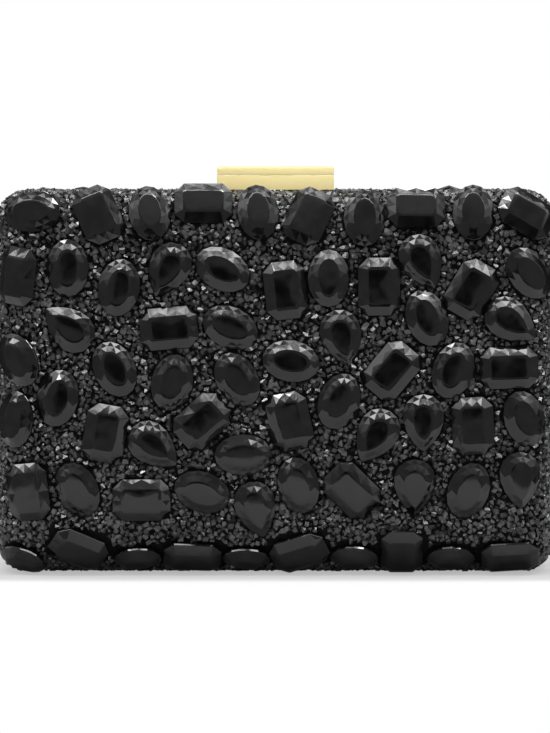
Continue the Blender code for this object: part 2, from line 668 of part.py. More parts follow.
def make_clasp_pin(materials):
    """The pin through the ears of the lever and the bracket."""
    end = BRACKET_EAR_CENTRE + EAR_THICKNESS / 2
    bm = bmesh.new()
    add_rod(bm, (-end, CLASP_AXIS_DEPTH, CLASP_AXIS_HEIGHT), (end, CLASP_AXIS_DEPTH, CLASP_AXIS_HEIGHT),
            CLASP_PIN_RADIUS, PIN_SIDES)
    add_object("clasp_pin", bm, materials["steel"])


def make_clasp_spring(materials):
    """The bent leaf spring that presses the lever's tail up and its nose down."""
    foot, head = PLATE_TOP + GAP, LEVER_BASE - GAP
    outer = (head - foot) / 2
    bend = LEVER_TAIL - GAP - outer
    tip = bend - CLASP_SPRING_LEG
    centre = (bend, (foot + head) / 2)
    profile = (
        [(tip, foot)] + arc(centre, outer, -90, 90, EAR_STEPS) + [(tip, head)]
        + [(tip, head - SPRING_THICKNESS)]
        + arc(centre, outer - SPRING_THICKNESS, 90, -90, EAR_STEPS)
        + [(tip, foot + SPRING_THICKNESS)])
    bm = bmesh.new()
    add_prism(bm, profile, -SPRING_WIDTH / 2, SPRING_WIDTH / 2)
    add_object("clasp_spring", bm, materials["steel"])


def make_pocket(materials):
    """The slip pocket: a sheet with side and base strips, open at the top."""
    half = POCKET_WIDTH / 2
    top = POCKET_RISE + POCKET_HEIGHT
    bm = bmesh.new()
    add_box(bm, (-half, POCKET_FRONT_DEPTH, POCKET_RISE), (half, POCKET_BACK_DEPTH, top))
    pocket = add_object("rear_pocket", bm, materials["satin"])
    bm = bmesh.new()
    add_box(bm, (POCKET_SHEET - half, POCKET_FRONT_DEPTH + POCKET_SHEET, POCKET_RISE + POCKET_SHEET),
            (half - POCKET_SHEET, POCKET_BACK_DEPTH + OVERRUN, top + OVERRUN))
    apply_tool(pocket, bm, "DIFFERENCE")


def make_materials():
    """The surfaces of the clutch."""
    return {
        "granules": make_material("black_jewelled_cover", (0.012, 0.012, 0.013), 0.2),
        "shell": make_material("moulded_shell", (0.03, 0.03, 0.03), 0.6),
        "satin": make_material("black_satin", (0.02, 0.02, 0.022), 0.45),
        "gold": make_material("pale_gold", (0.9, 0.75, 0.34), 0.25, 1.0),
        "steel": make_material("spring_steel", (0.6, 0.6, 0.6), 0.3, 1.0),
    }


def main():
    """Build the clutch."""
    clear_scene()
    materials = make_materials()
    front_pivot = make_pivot("front_pivot", (0, 0, HINGE_HEIGHT))
    lever_pivot = make_pivot("lever_pivot", (0, CLASP_AXIS_DEPTH, CLASP_AXIS_HEIGHT))
    make_half(FRONT, front_pivot, materials)
    make_half(REAR, None, materials)
    make_pocket(materials)
    make_hinges(front_pivot, materials)
    make_catch(materials, front_pivot)
    make_catch_spring(materials, front_pivot)
    make_lever(materials, lever_pivot)
    make_bracket(materials)
    make_clasp_pin(materials)
    make_clasp_spring(materials)


main()
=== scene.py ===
"""Evening clutch, dressed: stones, granules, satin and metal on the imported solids."""

import json
import logging
import math
from collections.abc import Callable, Sequence
from dataclasses import dataclass
from enum import Enum
from functools import cached_property

import bmesh
import bpy
import numpy as np
from mathutils import Matrix, Vector, noise
from mathutils.bvhtree import BVHTree

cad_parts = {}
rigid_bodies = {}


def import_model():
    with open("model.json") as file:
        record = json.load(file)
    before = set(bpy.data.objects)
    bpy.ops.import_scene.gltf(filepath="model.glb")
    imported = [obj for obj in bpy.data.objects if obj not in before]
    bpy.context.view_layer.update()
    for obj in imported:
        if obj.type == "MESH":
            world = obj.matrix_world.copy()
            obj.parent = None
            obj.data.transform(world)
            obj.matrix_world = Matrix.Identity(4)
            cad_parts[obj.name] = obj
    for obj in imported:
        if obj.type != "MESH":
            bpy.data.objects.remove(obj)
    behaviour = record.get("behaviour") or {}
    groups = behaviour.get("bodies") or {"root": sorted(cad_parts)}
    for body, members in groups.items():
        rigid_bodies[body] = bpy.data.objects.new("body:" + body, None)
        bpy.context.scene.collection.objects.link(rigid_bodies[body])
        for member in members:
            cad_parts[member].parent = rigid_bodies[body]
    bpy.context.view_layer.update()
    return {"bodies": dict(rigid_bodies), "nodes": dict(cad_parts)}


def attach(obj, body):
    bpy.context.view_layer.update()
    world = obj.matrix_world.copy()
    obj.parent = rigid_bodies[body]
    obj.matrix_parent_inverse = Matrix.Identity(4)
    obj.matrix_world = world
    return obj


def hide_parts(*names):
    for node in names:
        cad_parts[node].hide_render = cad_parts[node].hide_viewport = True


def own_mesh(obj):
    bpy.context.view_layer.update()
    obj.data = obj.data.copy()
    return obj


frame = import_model()
LOG = logging.getLogger("evening_clutch")
MM = 0.001
TONE = "granule_tone"
Piece = bpy.types.Object
Material = bpy.types.Material
Tree = bpy.types.NodeTree
Socket = bpy.types.NodeSocket
Ring = list[Vector]
Pair = tuple[float, float]
Colour = tuple[float, float, float, float]
Place = tuple[float, float, float]


class Half(Enum):
    """The two halves, by the side of the parting plane that they stand on."""

    FRONT = -1
    REAR = 1

    @property
    def label(self) -> str:
        """The half's name in the solids."""
        return self.name.lower()

    @property
    def body(self) -> str:
        """The body that the half's pieces ride on."""
        return f"{self.label}_half"


class Ends(Enum):
    """What closes a row of rings."""

    CAPPED = "both ends filled"
    LAST = "the last ring filled"
    JOINED = "the last ring bridged to the first"


class Slot(Enum):
    """The record's material slots."""

    JEWELS = "jewelled_cover"
    BOARD = "moulded_shell"
    SATIN = "satin_lining"
    GOLD = "gold_metal"
    STEEL = "steel"


def pair(value: float) -> Pair:
    """The places at one distance either side of the middle."""
    return -value, value


# Modelling bench


class Bench:
    """The modelling moves that every piece is made with."""

    @staticmethod
    def only(obj: Piece | None = None) -> None:
        """Leave object mode with one object selected, or none.

        Args:
            obj: The object to select and make active.
        """
        active = bpy.context.view_layer.objects.active
        if active and active.mode != "OBJECT":
            bpy.ops.object.mode_set(mode="OBJECT")
        bpy.ops.object.select_all(action="DESELECT")
        if obj:
            obj.select_set(True)
            bpy.context.view_layer.objects.active = obj

    @staticmethod
    def edit() -> None:
        """Go into edit mode on the active object."""
        bpy.ops.object.mode_set(mode="EDIT")

    @staticmethod
    def finish_edit() -> None:
        """Turn every face outwards and leave edit mode."""
        bpy.ops.mesh.select_all(action="SELECT")
        bpy.ops.mesh.normals_make_consistent(inside=False)
        bpy.ops.object.mode_set(mode="OBJECT")

    @staticmethod
    def name(name: str) -> Piece:
        """Name the active object and its mesh.

        Args:
            name: The name.

        Returns:
            The object.
        """
        obj = bpy.context.object
        obj.name = obj.data.name = name
        return obj

    @staticmethod
    def loft(name: str, rings: Sequence[Ring], ends: Ends = Ends.CAPPED) -> Piece:
        """Extrude a round edge loop through a row of rings of equal length.

        Args:
            name: The piece's name.
            rings: The rings, each a list of points.
            ends: What closes the row.

        Returns:
            The new mesh object.
        """
        Bench.only()
        bpy.ops.mesh.primitive_circle_add(vertices=len(rings[0]), fill_type="NOTHING")
        obj = Bench.name(name)
        Bench.edit()
        mesh = bmesh.from_edit_mesh(obj.data)
        place = mesh.verts.layers.int.new("place")
        for i, vert in enumerate(mesh.verts):
            vert[place] = i
            vert.co = rings[0][i]
        for ring in rings[1:]:
            bpy.ops.mesh.extrude_region()
            mesh = bmesh.from_edit_mesh(obj.data)
            place = mesh.verts.layers.int["place"]
            for vert in mesh.verts:
                if vert.select:
                    vert.co = ring[vert[place]]
        if ends is Ends.LAST:
            bpy.ops.mesh.edge_face_add()
        else:
            bpy.ops.mesh.select_all(action="DESELECT")
            mesh = bmesh.from_edit_mesh(obj.data)
            for edge in mesh.edges:
                edge.select = len(edge.link_faces) == 1
            if ends is Ends.JOINED:
                bpy.ops.mesh.bridge_edge_loops()
            else:
                bpy.ops.mesh.fill_holes(sides=0)
        Bench.finish_edit()
        obj.data.attributes.remove(obj.data.attributes["place"])
        return obj

    @staticmethod
    def prism(name: str, profile: Sequence[Pair], start: float, end: float) -> Piece:
        """Extrude a profile of (y, z) points along X."""
        return Bench.loft(name, [[Vector((x, y, z)) for y, z in profile] for x in (start, end)])

    @staticmethod
    def box(name: str, low: Sequence[float], high: Sequence[float]) -> Piece:
        """A box between two opposite corners, as a start for shaping.

        Args:
            name: The piece's name.
            low: The corner with the lower values.
            high: The corner with the higher values.

        Returns:
            The box.
        """
        low, high = Vector(low), Vector(high)
        Bench.only()
        bpy.ops.mesh.primitive_cube_add(size=1, location=(low + high) / 2, scale=high - low)
        bpy.ops.object.transform_apply(location=True, rotation=True, scale=True)
        return Bench.name(name)

    @staticmethod
    def rod(name: str, start: Sequence[float], end: Sequence[float], radius: float,
            sides: int = 24) -> Piece:
        """A round rod between two points, as a start for shaping.

        Args:
            name: The piece's name.
            start: The middle of one end.
            end: The middle of the other end.
            radius: The rod's radius.
            sides: The sides that stand for its round.

        Returns:
            The rod.
        """
        start, end = Vector(start), Vector(end)
        Bench.only()
        bpy.ops.mesh.primitive_cylinder_add(
            vertices=sides, radius=radius, depth=(end - start).length,
            location=(start + end) / 2, rotation=(end - start).to_track_quat("Z", "Y").to_euler())
        bpy.ops.object.transform_apply(location=True, rotation=True, scale=True)
        return Bench.name(name)

    @staticmethod
    def cross_rod(name: str, centre: float, reach: float, y: float, z: float,
                  radius: float) -> Piece:
        """A rod along X that reaches as far to either side of its centre."""
        return Bench.rod(name, (centre - reach, y, z), (centre + reach, y, z), radius)

    @staticmethod
    def apply(obj: Piece, kind: str, **settings: object) -> None:
        """Add a modifier with these settings and apply it.

        Args:
            obj: The piece.
            kind: The modifier's type.
            **settings: The modifier's values.
        """
        modifier = obj.modifiers.new(kind.lower(), kind)
        for key, value in settings.items():
            setattr(modifier, key, value)
        Bench.only(obj)
        bpy.ops.object.modifier_apply(modifier=modifier.name)

    @staticmethod
    def work(obj: Piece, tools: Sequence[Piece], operation: str = "DIFFERENCE") -> None:
        """Cut closed tools out of a piece, or join them on, and use them up.

        Args:
            obj: The piece.
            tools: The closed solids.
            operation: DIFFERENCE or UNION.
        """
        for tool in tools:
            Bench.apply(obj, "BOOLEAN", object=tool, operation=operation, solver="EXACT")
            Bench.drop(tool)

    @staticmethod
    def bevel(obj: Piece, width: float, segments: int, limit: float) -> None:
        """Bevel the edges that turn by more than so many degrees."""
        Bench.apply(obj, "BEVEL", width=width, segments=segments, limit_method="ANGLE",
                    angle_limit=math.radians(limit))

    @staticmethod
    def soften(obj: Piece, width: float, segments: int = 2, limit: float = 30.0) -> None:
        """Round the piece's edges and shade it smooth between them."""
        Bench.bevel(obj, width, segments, limit)
        Bench.smooth(obj)

    @staticmethod
    def smooth(obj: Piece, degrees: float = 38.0) -> None:
        """Shade smooth, with sharp edges where faces turn by more than this."""
        Bench.only(obj)
        bpy.ops.object.shade_smooth_by_angle(angle=math.radians(degrees))

    @staticmethod
    def join(name: str, parts: Sequence[Piece]) -> Piece:
        """Join several objects into one of this name.

        Args:
            name: The piece's name.
            parts: The objects, which are used up.

        Returns:
            The piece.
        """
        Bench.only(parts[0])
        for part in parts:
            part.select_set(True)
        bpy.ops.object.join()
        return Bench.name(name)

    @staticmethod
    def copy(obj: Piece, name: str, matrix: Matrix) -> Piece:
        """A copy with its own mesh, moved by a matrix.

        Args:
            obj: The pattern.
            name: The copy's name.
            matrix: Where it goes.

        Returns:
            The copy.
        """
        twin = obj.copy()
        twin.data = obj.data.copy()
        twin.name = twin.data.name = name
        bpy.context.scene.collection.objects.link(twin)
        twin.data.transform(matrix)
        return twin

    @staticmethod
    def drop(obj: Piece) -> None:
        """Remove a tool, or a pattern that was only made to be copied."""
        bpy.data.objects.remove(obj, do_unlink=True)


# Node work


@dataclass(frozen=True)
class Patch:
    """A node tree that nodes are wired into."""

    tree: Tree

    def node(self, kind: str, inputs: dict[str | int, object] | None = None,
             **settings: object) -> bpy.types.Node:
        """Add a node.

        Args:
            kind: The node's type.
            inputs: Values or output sockets, by input name or number.
            **settings: The node's own properties.

        Returns:
            The new node.
        """
        made = self.tree.nodes.new(kind)
        for key, value in settings.items():
            setattr(made, key, value)
        for key, value in (inputs or {}).items():
            if isinstance(value, Socket):
                self.link(value, made.inputs[key])
            else:
                made.inputs[key].default_value = value
        return made

    def link(self, source: Socket, target: Socket) -> None:
        """Lead an output into an input."""
        self.tree.links.new(source, target)

    def math(self, operation: str, first: object, second: object = 0.0) -> Socket:
        """The result of one sum on values or sockets."""
        return self.node("ShaderNodeMath", {0: first, 1: second}, operation=operation).outputs[0]

    def times(self, first: object, second: object) -> Socket:
        """The product of two values."""
        return self.math("MULTIPLY", first, second)

    def blend(self, first: object, second: object, share: float) -> Socket:
        """A share of the first value, with the rest of the second."""
        return self.math("ADD", self.times(first, share), self.times(second, 1 - share))

    def ramp(self, value: object, low: float, high: float, to_low: float = 0.0,
             to_high: float = 1.0) -> Socket:
        """A smooth step of a value from one span to another."""
        return self.node("ShaderNodeMapRange", {
            "Value": value, "From Min": low, "From Max": high, "To Min": to_low,
            "To Max": to_high}, interpolation_type="SMOOTHSTEP").outputs[0]

    def mix(self, share: object, first: object, second: object) -> Socket:
        """A blend of two colours."""
        return self.node("ShaderNodeMix", {0: share, 6: first, 7: second},
                         data_type="RGBA").outputs[2]

    def between(self, share: object, first: object, second: object) -> Socket:
        """A blend of two values."""
        return self.node("ShaderNodeMix", {0: share, 2: first, 3: second},
                         data_type="FLOAT").outputs[0]

    def place(self) -> Socket:
        """The point's own place on the piece."""
        return self.node("ShaderNodeTexCoord").outputs["Object"]

    def split(self, vector: Socket) -> bpy.types.NodeOutputs:
        """The X, Y and Z of a vector."""
        return self.node("ShaderNodeSeparateXYZ", {0: vector}).outputs


class Effects:
    """Shader effects that several finishes share, each built once."""

    made: dict[str, Tree] = {}

    @staticmethod
    def group(name: str, inputs: dict[str, float], outputs: Sequence[str]
              ) -> tuple[Patch, bpy.types.NodeOutputs, bpy.types.NodeInputs]:
        """Start a node group with a Vector input, named values and value outputs.

        Args:
            name: The group's name.
            inputs: Its values and their defaults.
            outputs: The names of what it puts out.

        Returns:
            The group's tree, what it is given and what it puts out.
        """
        tree = bpy.data.node_groups.new(name, "ShaderNodeTree")
        tree.interface.new_socket("Vector", in_out="INPUT", socket_type="NodeSocketVector")
        for key, value in inputs.items():
            socket = tree.interface.new_socket(key, in_out="INPUT", socket_type="NodeSocketFloat")
            socket.default_value = value
        for key in outputs:
            tree.interface.new_socket(key, in_out="OUTPUT", socket_type="NodeSocketFloat")
        patch = Patch(tree)
        return patch, patch.node("NodeGroupInput").outputs, patch.node("NodeGroupOutput").inputs

    @classmethod
    def mottle(cls) -> Tree:
        """Soft uneven patches, as a mask.

        Returns:
            The effect's node tree.
        """
        patch, given, result = cls.group("mottle", {"Scale": 100.0, "Detail": 2.0}, ["Mask"])
        cloud = patch.node("ShaderNodeTexNoise", {
            key: given[key] for key in ("Vector", "Scale", "Detail")})
        patch.link(patch.ramp(cloud.outputs["Fac"], 0.3, 0.7), result["Mask"])
        return patch.tree

    @classmethod
    def brush(cls) -> Tree:
        """Fine lines along X, as polishing leaves on metal.

        Returns:
            The effect's node tree.
        """
        patch, given, result = cls.group("brush", {"Scale": 900.0, "Stretch": 0.03},
                                         ["Height", "Mask"])
        stretch = patch.node("ShaderNodeCombineXYZ", {0: given["Stretch"], 1: 1.0, 2: 1.0})
        drawn = patch.node("ShaderNodeVectorMath", {0: given["Vector"], 1: stretch.outputs[0]},
                           operation="MULTIPLY")
        lines = patch.node("ShaderNodeTexNoise", {
            "Vector": drawn.outputs[0], "Scale": given["Scale"], "Detail": 3.0})
        patch.link(lines.outputs["Fac"], result["Height"])
        patch.link(patch.ramp(lines.outputs["Fac"], 0.35, 0.65), result["Mask"])
        return patch.tree

    @classmethod
    def threads(cls) -> Tree:
        """Satin threads: long floats across X, crossed by a fine warp.

        Returns:
            The effect's node tree.
        """
        patch, given, result = cls.group("threads", {"Pitch": 0.35 * MM}, ["Height", "Mask"])
        scale = patch.math("DIVIDE", math.tau, given["Pitch"])
        x, y, z = patch.split(given["Vector"])
        across = patch.math("SINE", patch.times(x, scale))
        slant = patch.math("ADD", z, patch.times(y, 0.7))
        up = patch.math("SINE", patch.times(slant, patch.times(scale, 0.4)))
        height = patch.blend(across, up, 0.7)
        patch.link(height, result["Height"])
        patch.link(patch.ramp(height, -1.0, 1.0), result["Mask"])
        return patch.tree

    @classmethod
    def use(cls, patch: Patch, effect: Callable[[], Tree], **values: float
            ) -> bpy.types.NodeOutputs:
        """Place an effect in a material.

        Args:
            patch: The material's node tree.
            effect: What builds the effect the first time.
            **values: The effect's values there.

        Returns:
            The effect's outputs.
        """
        if effect.__name__ not in cls.made:
            cls.made[effect.__name__] = effect()
        return patch.node("ShaderNodeGroup", {"Vector": patch.place(), **values},
                          node_tree=cls.made[effect.__name__]).outputs


def mottle(patch: Patch, scale: float, detail: float) -> Socket:
    """Soft uneven patches over a piece, as a mask."""
    return Effects.use(patch, Effects.mottle, Scale=scale, Detail=detail)["Mask"]


def start_material(name: str, fixed: dict[str, float]) -> tuple[Material, Patch, bpy.types.Node]:
    """A material with its shader, and the values that are the same all over it.

    Args:
        name: The material's name.
        fixed: The shader's plain values, by input name.

    Returns:
        The material, its node tree and its shader.
    """
    material = bpy.data.materials.new(name)
    material.use_nodes = True
    shader = material.node_tree.nodes["Principled BSDF"]
    for key, value in fixed.items():
        shader.inputs[key].default_value = value
    return material, Patch(material.node_tree), shader


def wire(patch: Patch, shader: bpy.types.Node, colour: Socket, rough: Socket, height: Socket,
         depth: float, strength: float) -> None:
    """Lead colour, roughness and relief into a shader.

    Args:
        patch: The material's node tree.
        shader: Its shader.
        colour: The colour over the piece.
        rough: The roughness over the piece.
        height: The relief, from 0 to 1.
        depth: How deep the relief goes.
        strength: The share of it that shows.
    """
    bump = patch.node("ShaderNodeBump", {
        "Strength": strength, "Distance": depth, "Height": height})
    for name, source in (("Base Color", colour), ("Roughness", rough),
                         ("Normal", bump.outputs[0])):
        patch.link(source, shader.inputs[name])


def grey(value: float) -> Colour:
    """A neutral colour."""
    return (value, value, value, 1.0)


# Finishes


@dataclass(frozen=True)
class ResinFinish:
    """Black cast resin: glossy, with slow waves and faint haze on its facets."""

    colour: Colour = (0.0015, 0.0015, 0.0017, 1.0)
    haze_colour: Colour = (0.005, 0.005, 0.0055, 1.0)
    gloss: float = 0.05
    haze: float = 0.12
    haze_scale: float = 240.0
    wave_scale: float = 170.0
    wave_height: float = 0.05 * MM

    def build(self) -> Material:
        """Make the material.

        Returns:
            The material.
        """
        material, patch, shader = start_material("black_resin", {"IOR": 1.53})
        cloud = mottle(patch, self.haze_scale, 3.0)
        wave = mottle(patch, self.wave_scale, 0.0)
        colour = patch.mix(cloud, self.colour, self.haze_colour)
        rough = patch.ramp(cloud, 0.2, 1.0, self.gloss, self.haze)
        wire(patch, shader, colour, rough, wave, self.wave_height, 1.0)
        return material


@dataclass(frozen=True)
class GranuleFinish:
    """Crushed black glass: each granule has its own tone and polish."""

    dark: Colour = (0.006, 0.006, 0.007, 1.0)
    light: Colour = (0.045, 0.045, 0.048, 1.0)
    polish: Pair = (0.1, 0.34)
    chip_scale: float = 2600.0
    chip_depth: float = 0.03 * MM

    def build(self) -> Material:
        """Make the material.

        Returns:
            The material.
        """
        material, patch, shader = start_material("black_granules", {"IOR": 1.8})
        tone = patch.node("ShaderNodeAttribute", attribute_name=TONE).outputs["Fac"]
        chip = mottle(patch, self.chip_scale, 1.0)
        colour = patch.mix(patch.times(tone, tone), self.dark, self.light)
        rough = patch.ramp(patch.blend(tone, chip, 0.7), 0.0, 1.0, *self.polish)
        wire(patch, shader, colour, rough, chip, self.chip_depth, 0.6)
        return material


@dataclass(frozen=True)
class MetalFinish:
    """Plated metal with fine polishing lines, soft patches and a little wear."""

    name: str
    colour: Colour
    worn: Colour
    metallic: float
    polish: Pair
    line_scale: float = 1400.0
    line_height: float = 0.004 * MM
    wear_scale: float = 160.0

    def build(self) -> Material:
        """Make the material.

        Returns:
            The material.
        """
        material, patch, shader = start_material(self.name, {"Metallic": self.metallic})
        lines = Effects.use(patch, Effects.brush, Scale=self.line_scale, Stretch=0.04)
        wear = mottle(patch, self.wear_scale, 4.0)
        rough = patch.ramp(patch.blend(lines["Mask"], wear, 0.5), 0.0, 1.0, *self.polish)
        wire(patch, shader, patch.mix(wear, self.colour, self.worn), rough, lines["Height"],
             self.line_height, 0.25)
        return material


@dataclass(frozen=True)
class SatinFinish:
    """Black satin: thread relief, soft sheen and uneven gloss."""

    name: str
    pitch: float
    sheen: float
    gloss_scale: float = 70.0
    thread_depth: float = 0.04 * MM

    def build(self) -> Material:
        """Make the material.

        Returns:
            The material.
        """
        material, patch, shader = start_material(
            self.name, {"Sheen Weight": self.sheen, "Sheen Roughness": 0.4, "IOR": 1.45})
        weave = Effects.use(patch, Effects.threads, Pitch=self.pitch)
        gloss = mottle(patch, self.gloss_scale, 4.0)
        wire(patch, shader, patch.mix(weave["Mask"], grey(0.012), grey(0.028)),
             patch.ramp(gloss, 0.0, 1.0, 0.34, 0.5), weave["Height"], self.thread_depth, 0.5)
        return material


@dataclass(frozen=True)
class GrainFinish:
    """Black glued cloth or moulded board: matt, with a fine grain and soft patches."""

    name: str
    reflection: float
    grain: Pair
    grain_depth: float
    grain_strength: float
    clouds: Pair
    tones: Pair
    polish: Pair

    def build(self) -> Material:
        """Make the material.

        Returns:
            The material.
        """
        material, patch, shader = start_material(self.name, {"IOR": self.reflection})
        grain, cloud = mottle(patch, *self.grain), mottle(patch, *self.clouds)
        wire(patch, shader, patch.mix(cloud, *map(grey, self.tones)),
             patch.ramp(grain, 0.0, 1.0, *self.polish), grain, self.grain_depth,
             self.grain_strength)
        return material


Look = ResinFinish | GranuleFinish | GrainFinish | MetalFinish | SatinFinish


class Finish(Enum):
    """Every finish of the clutch, with the record's slot that it belongs to."""

    RESIN = (ResinFinish(), Slot.JEWELS)
    GRANULES = (GranuleFinish(), Slot.JEWELS)
    BED = (GrainFinish("granule_bed", 1.2, (900.0, 3.0), 0.1 * MM, 0.8, (900.0, 3.0),
                       (0.001, 0.004), (0.5, 0.8)), Slot.JEWELS)
    SATIN = (SatinFinish("black_satin", 0.35 * MM, 0.35), Slot.SATIN)
    THREAD = (SatinFinish("sewing_thread", 0.2 * MM, 0.5), Slot.SATIN)
    BOARD = (GrainFinish("moulded_board", 1.45, (1800.0, 2.0), 0.05 * MM, 0.5, (60.0, 3.0),
                         (0.016, 0.03), (0.5, 0.7)), Slot.BOARD)
    GOLD = (MetalFinish("pale_gold", (1.0, 0.86, 0.42, 1.0), (1.0, 0.84, 0.4, 1.0), 0.12,
                        (0.42, 0.52)), Slot.GOLD)
    STEEL = (MetalFinish("spring_steel", (0.62, 0.62, 0.63, 1.0), (0.5, 0.5, 0.5, 1.0), 1.0,
                         (0.16, 0.34)), Slot.STEEL)

    def __init__(self, look: Look, slot: Slot) -> None:
        """Keep what the finish looks like and its slot."""
        self.look = look
        self.slot = slot

    @cached_property
    def material(self) -> Material:
        """The material, made when it is first used."""
        return self.look.build()


def set_piece(obj: Piece, body: str, finish: Finish, *stands_for: str) -> None:
    """Dress a finished piece and hang it on its body.

    Args:
        obj: The piece.
        body: The CAD body that carries it.
        finish: Its finish.
        *stands_for: The CAD nodes that it replaces.
    """
    obj.data.materials.clear()
    obj.data.materials.append(finish.material)
    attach(obj, body)
    if stands_for:
        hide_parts(*stands_for)
    LOG.info("%s: %d faces on %s", obj.name, len(obj.data.polygons), body)


# Form of the halves


def unit(vectors: np.ndarray) -> np.ndarray:
    """The same directions, each of length one."""
    return vectors / np.maximum(np.linalg.norm(vectors, axis=-1, keepdims=True), 1e-12)


@dataclass(frozen=True)
class PillowForm:
    """The pillow form of a half, with the same sizes as the solids."""

    width: float = 174 * MM
    height: float = 119 * MM
    wall_run: float = 7.5 * MM
    edge_depth: float = 18 * MM
    side_run: float = 10 * MM
    top_run: float = 11 * MM
    base_run: float = 19 * MM
    dome: float = 1.5 * MM
    corner_radius: float = 9 * MM
    corner_spread: float = 7 * MM

    def ring(self, half: Half, depth: float, half_width: float, top: float, base: float,
             radius: float, steps: int) -> Ring:
        """A rectangle with round corners, standing at a depth from the parting plane.

        Args:
            half: The half.
            depth: Its distance from the parting plane.
            half_width: Half its width.
            top: The height of its upper edge.
            base: The height of its lower edge.
            radius: The radius of its corners.
            steps: Steps round each corner.

        Returns:
            The ring.
        """
        right, high, low = half_width - radius, top - radius, base + radius
        corners = ((right, high, 0), (-right, high, 90), (-right, low, 180), (right, low, 270))
        points = []
        for across, up, first in corners:
            for i in range(steps + 1):
                angle = math.radians(first + 90 * i / steps)
                points.append(Vector((across + radius * math.cos(angle), half.value * depth,
                                      up + radius * math.sin(angle))))
        return points

    def rings(self, half: Half, inset: float, start: float, corner_steps: int = 4,
              edge_steps: int = 4, dome_steps: int = 1) -> list[Ring]:
        """Rings over the form, from the mouth to the middle of the face.

        Args:
            half: The half.
            inset: How far beneath the outer surface.
            start: The depth of the first ring.
            corner_steps: Steps round each corner.
            edge_steps: Steps over the edge's curve.
            dome_steps: Steps over the face.

        Returns:
            The rings.
        """
        rings = [self.ring(half, start, self.width / 2 - inset, self.height - inset, inset,
                           self.corner_radius - inset, corner_steps)]
        for i in range(edge_steps + 1):
            angle = math.pi / 2 * i / edge_steps
            share = 1 - math.cos(angle)
            half_width = self.width / 2 - inset - (self.side_run - inset) * share
            top = self.height - inset - (self.top_run - inset) * share
            base = inset + (self.base_run - inset) * share
            radius = self.corner_radius - inset + self.corner_spread * share
            depth = self.wall_run + (self.edge_depth - inset) * math.sin(angle)
            rings.append(self.ring(half, depth, half_width, top, base, radius, corner_steps))
        middle, half_height = (top + base) / 2, (top - base) / 2
        last = 1 / (dome_steps + 1)
        for i in range(1, dome_steps + 1):
            share = 1 - i / (dome_steps + 1)
            rise = self.dome * (1 - share ** 2) / (1 - last ** 2)
            rings.append(self.ring(half, depth + rise, half_width * share,
                                   middle + half_height * share, middle - half_height * share,
                                   radius * share, corner_steps))
        return rings

    def grid(self, half: Half, inset: float, start: float) -> tuple[np.ndarray, np.ndarray]:
        """Points and outward directions over the form, each of shape (rings, points, 3).

        Args:
            half: The half.
            inset: How far beneath the outer surface.
            start: The depth of the first ring.

        Returns:
            The points and the unit directions.
        """
        rings = self.rings(half, inset, start, corner_steps=10, edge_steps=12, dome_steps=8)
        points = np.array([[tuple(p) for p in ring] for ring in rings])
        centre = points[-1].mean(axis=0)
        points = np.concatenate([points, np.broadcast_to(
            centre + (points[-1] - centre) * 0.01, (1, *points[-1].shape))])
        around = np.roll(points, -1, axis=1) - np.roll(points, 1, axis=1)
        normals = unit(np.cross(np.gradient(points, axis=0), around))
        if normals[-2, 0, 1] * half.value < 0:
            normals = -normals
        return points, normals


@dataclass(frozen=True)
class Layers:
    """Insets and depths of the layers, with the same sizes as the solids."""

    gap: float = 0.3 * MM
    cover: float = 1.2 * MM
    shell_inset: float = 1.5 * MM
    flange_inset: float = 4.5 * MM
    frame_inset: float = 5.3 * MM
    parting: float = 0.15 * MM
    frame_depth: float = 1.5 * MM
    flange_end: float = 5.5 * MM
    layer_start: float = 1.8 * MM
    cover_start: float = 2.1 * MM
    hinge_height: float = 1.8 * MM


FORM = PillowForm()
LAYERS = Layers()


# Stones

OCTAGON_PLACE_SHARES = (
    (-0.629, 0.944, -24), (-0.256, 0.968, 90), (0.116, 0.939, 25), (0.499, 0.959, 90),
    (0.889, 0.944, -58), (-0.916, 0.783, 8), (0.035, 0.747, -6), (0.367, 0.757, 0),
    (0.695, 0.749, 30), (-0.378, 0.648, 85), (0.413, 0.539, 40), (0.831, 0.545, 88),
    (-0.606, 0.375, 10), (-0.261, 0.407, 48), (0.051, 0.407, -12), (0.702, 0.394, -3),
    (-0.881, 0.221, -6), (-0.477, 0.200, 90), (0.271, 0.226, -45), (-0.704, 0.076, -62),
    (-0.297, 0.052, -87), (0.086, 0.066, 68), (0.451, 0.070, 0), (0.839, 0.053, 85),
)
OVAL_PLACE_SHARES = (
    (-0.864, 0.949, 90), (-0.447, 0.947, -8), (-0.062, 0.949, -5), (0.315, 0.934, 0),
    (0.702, 0.949, 0), (-0.737, 0.805, 0), (-0.555, 0.754, 10), (-0.188, 0.801, -62),
    (0.188, 0.778, 0), (0.902, 0.791, -40), (-0.161, 0.651, -65), (0.537, 0.675, -20),
    (-0.916, 0.565, -35), (-0.572, 0.542, -25), (-0.367, 0.508, 12), (-0.136, 0.516, -30),
    (0.055, 0.563, -80), (0.631, 0.539, 20), (-0.927, 0.410, 5), (-0.774, 0.466, 12),
    (-0.115, 0.319, 90), (0.225, 0.459, 20), (0.886, 0.413, -20), (-0.704, 0.228, -25),
    (-0.261, 0.222, -70), (0.082, 0.239, -12), (0.686, 0.226, 20),
)
SMALL_OVAL_PLACE_SHARES = (
    (-0.910, 0.046, -75), (-0.492, 0.046, 90), (-0.103, 0.047, -82), (0.282, 0.050, 90),
    (0.627, 0.048, 90),
)
PEAR_PLACE_SHARES = (
    (-0.381, 0.799, 205), (0.521, 0.820, 155), (-0.736, 0.651, -50), (0.236, 0.623, 165),
    (0.839, 0.665, 125), (-0.431, 0.341, 130), (0.356, 0.368, 210), (0.526, 0.402, 180),
    (-0.069, 0.175, 165), (0.494, 0.234, 180), (0.870, 0.252, 177),
)

GIRDLE = 1.0 * MM


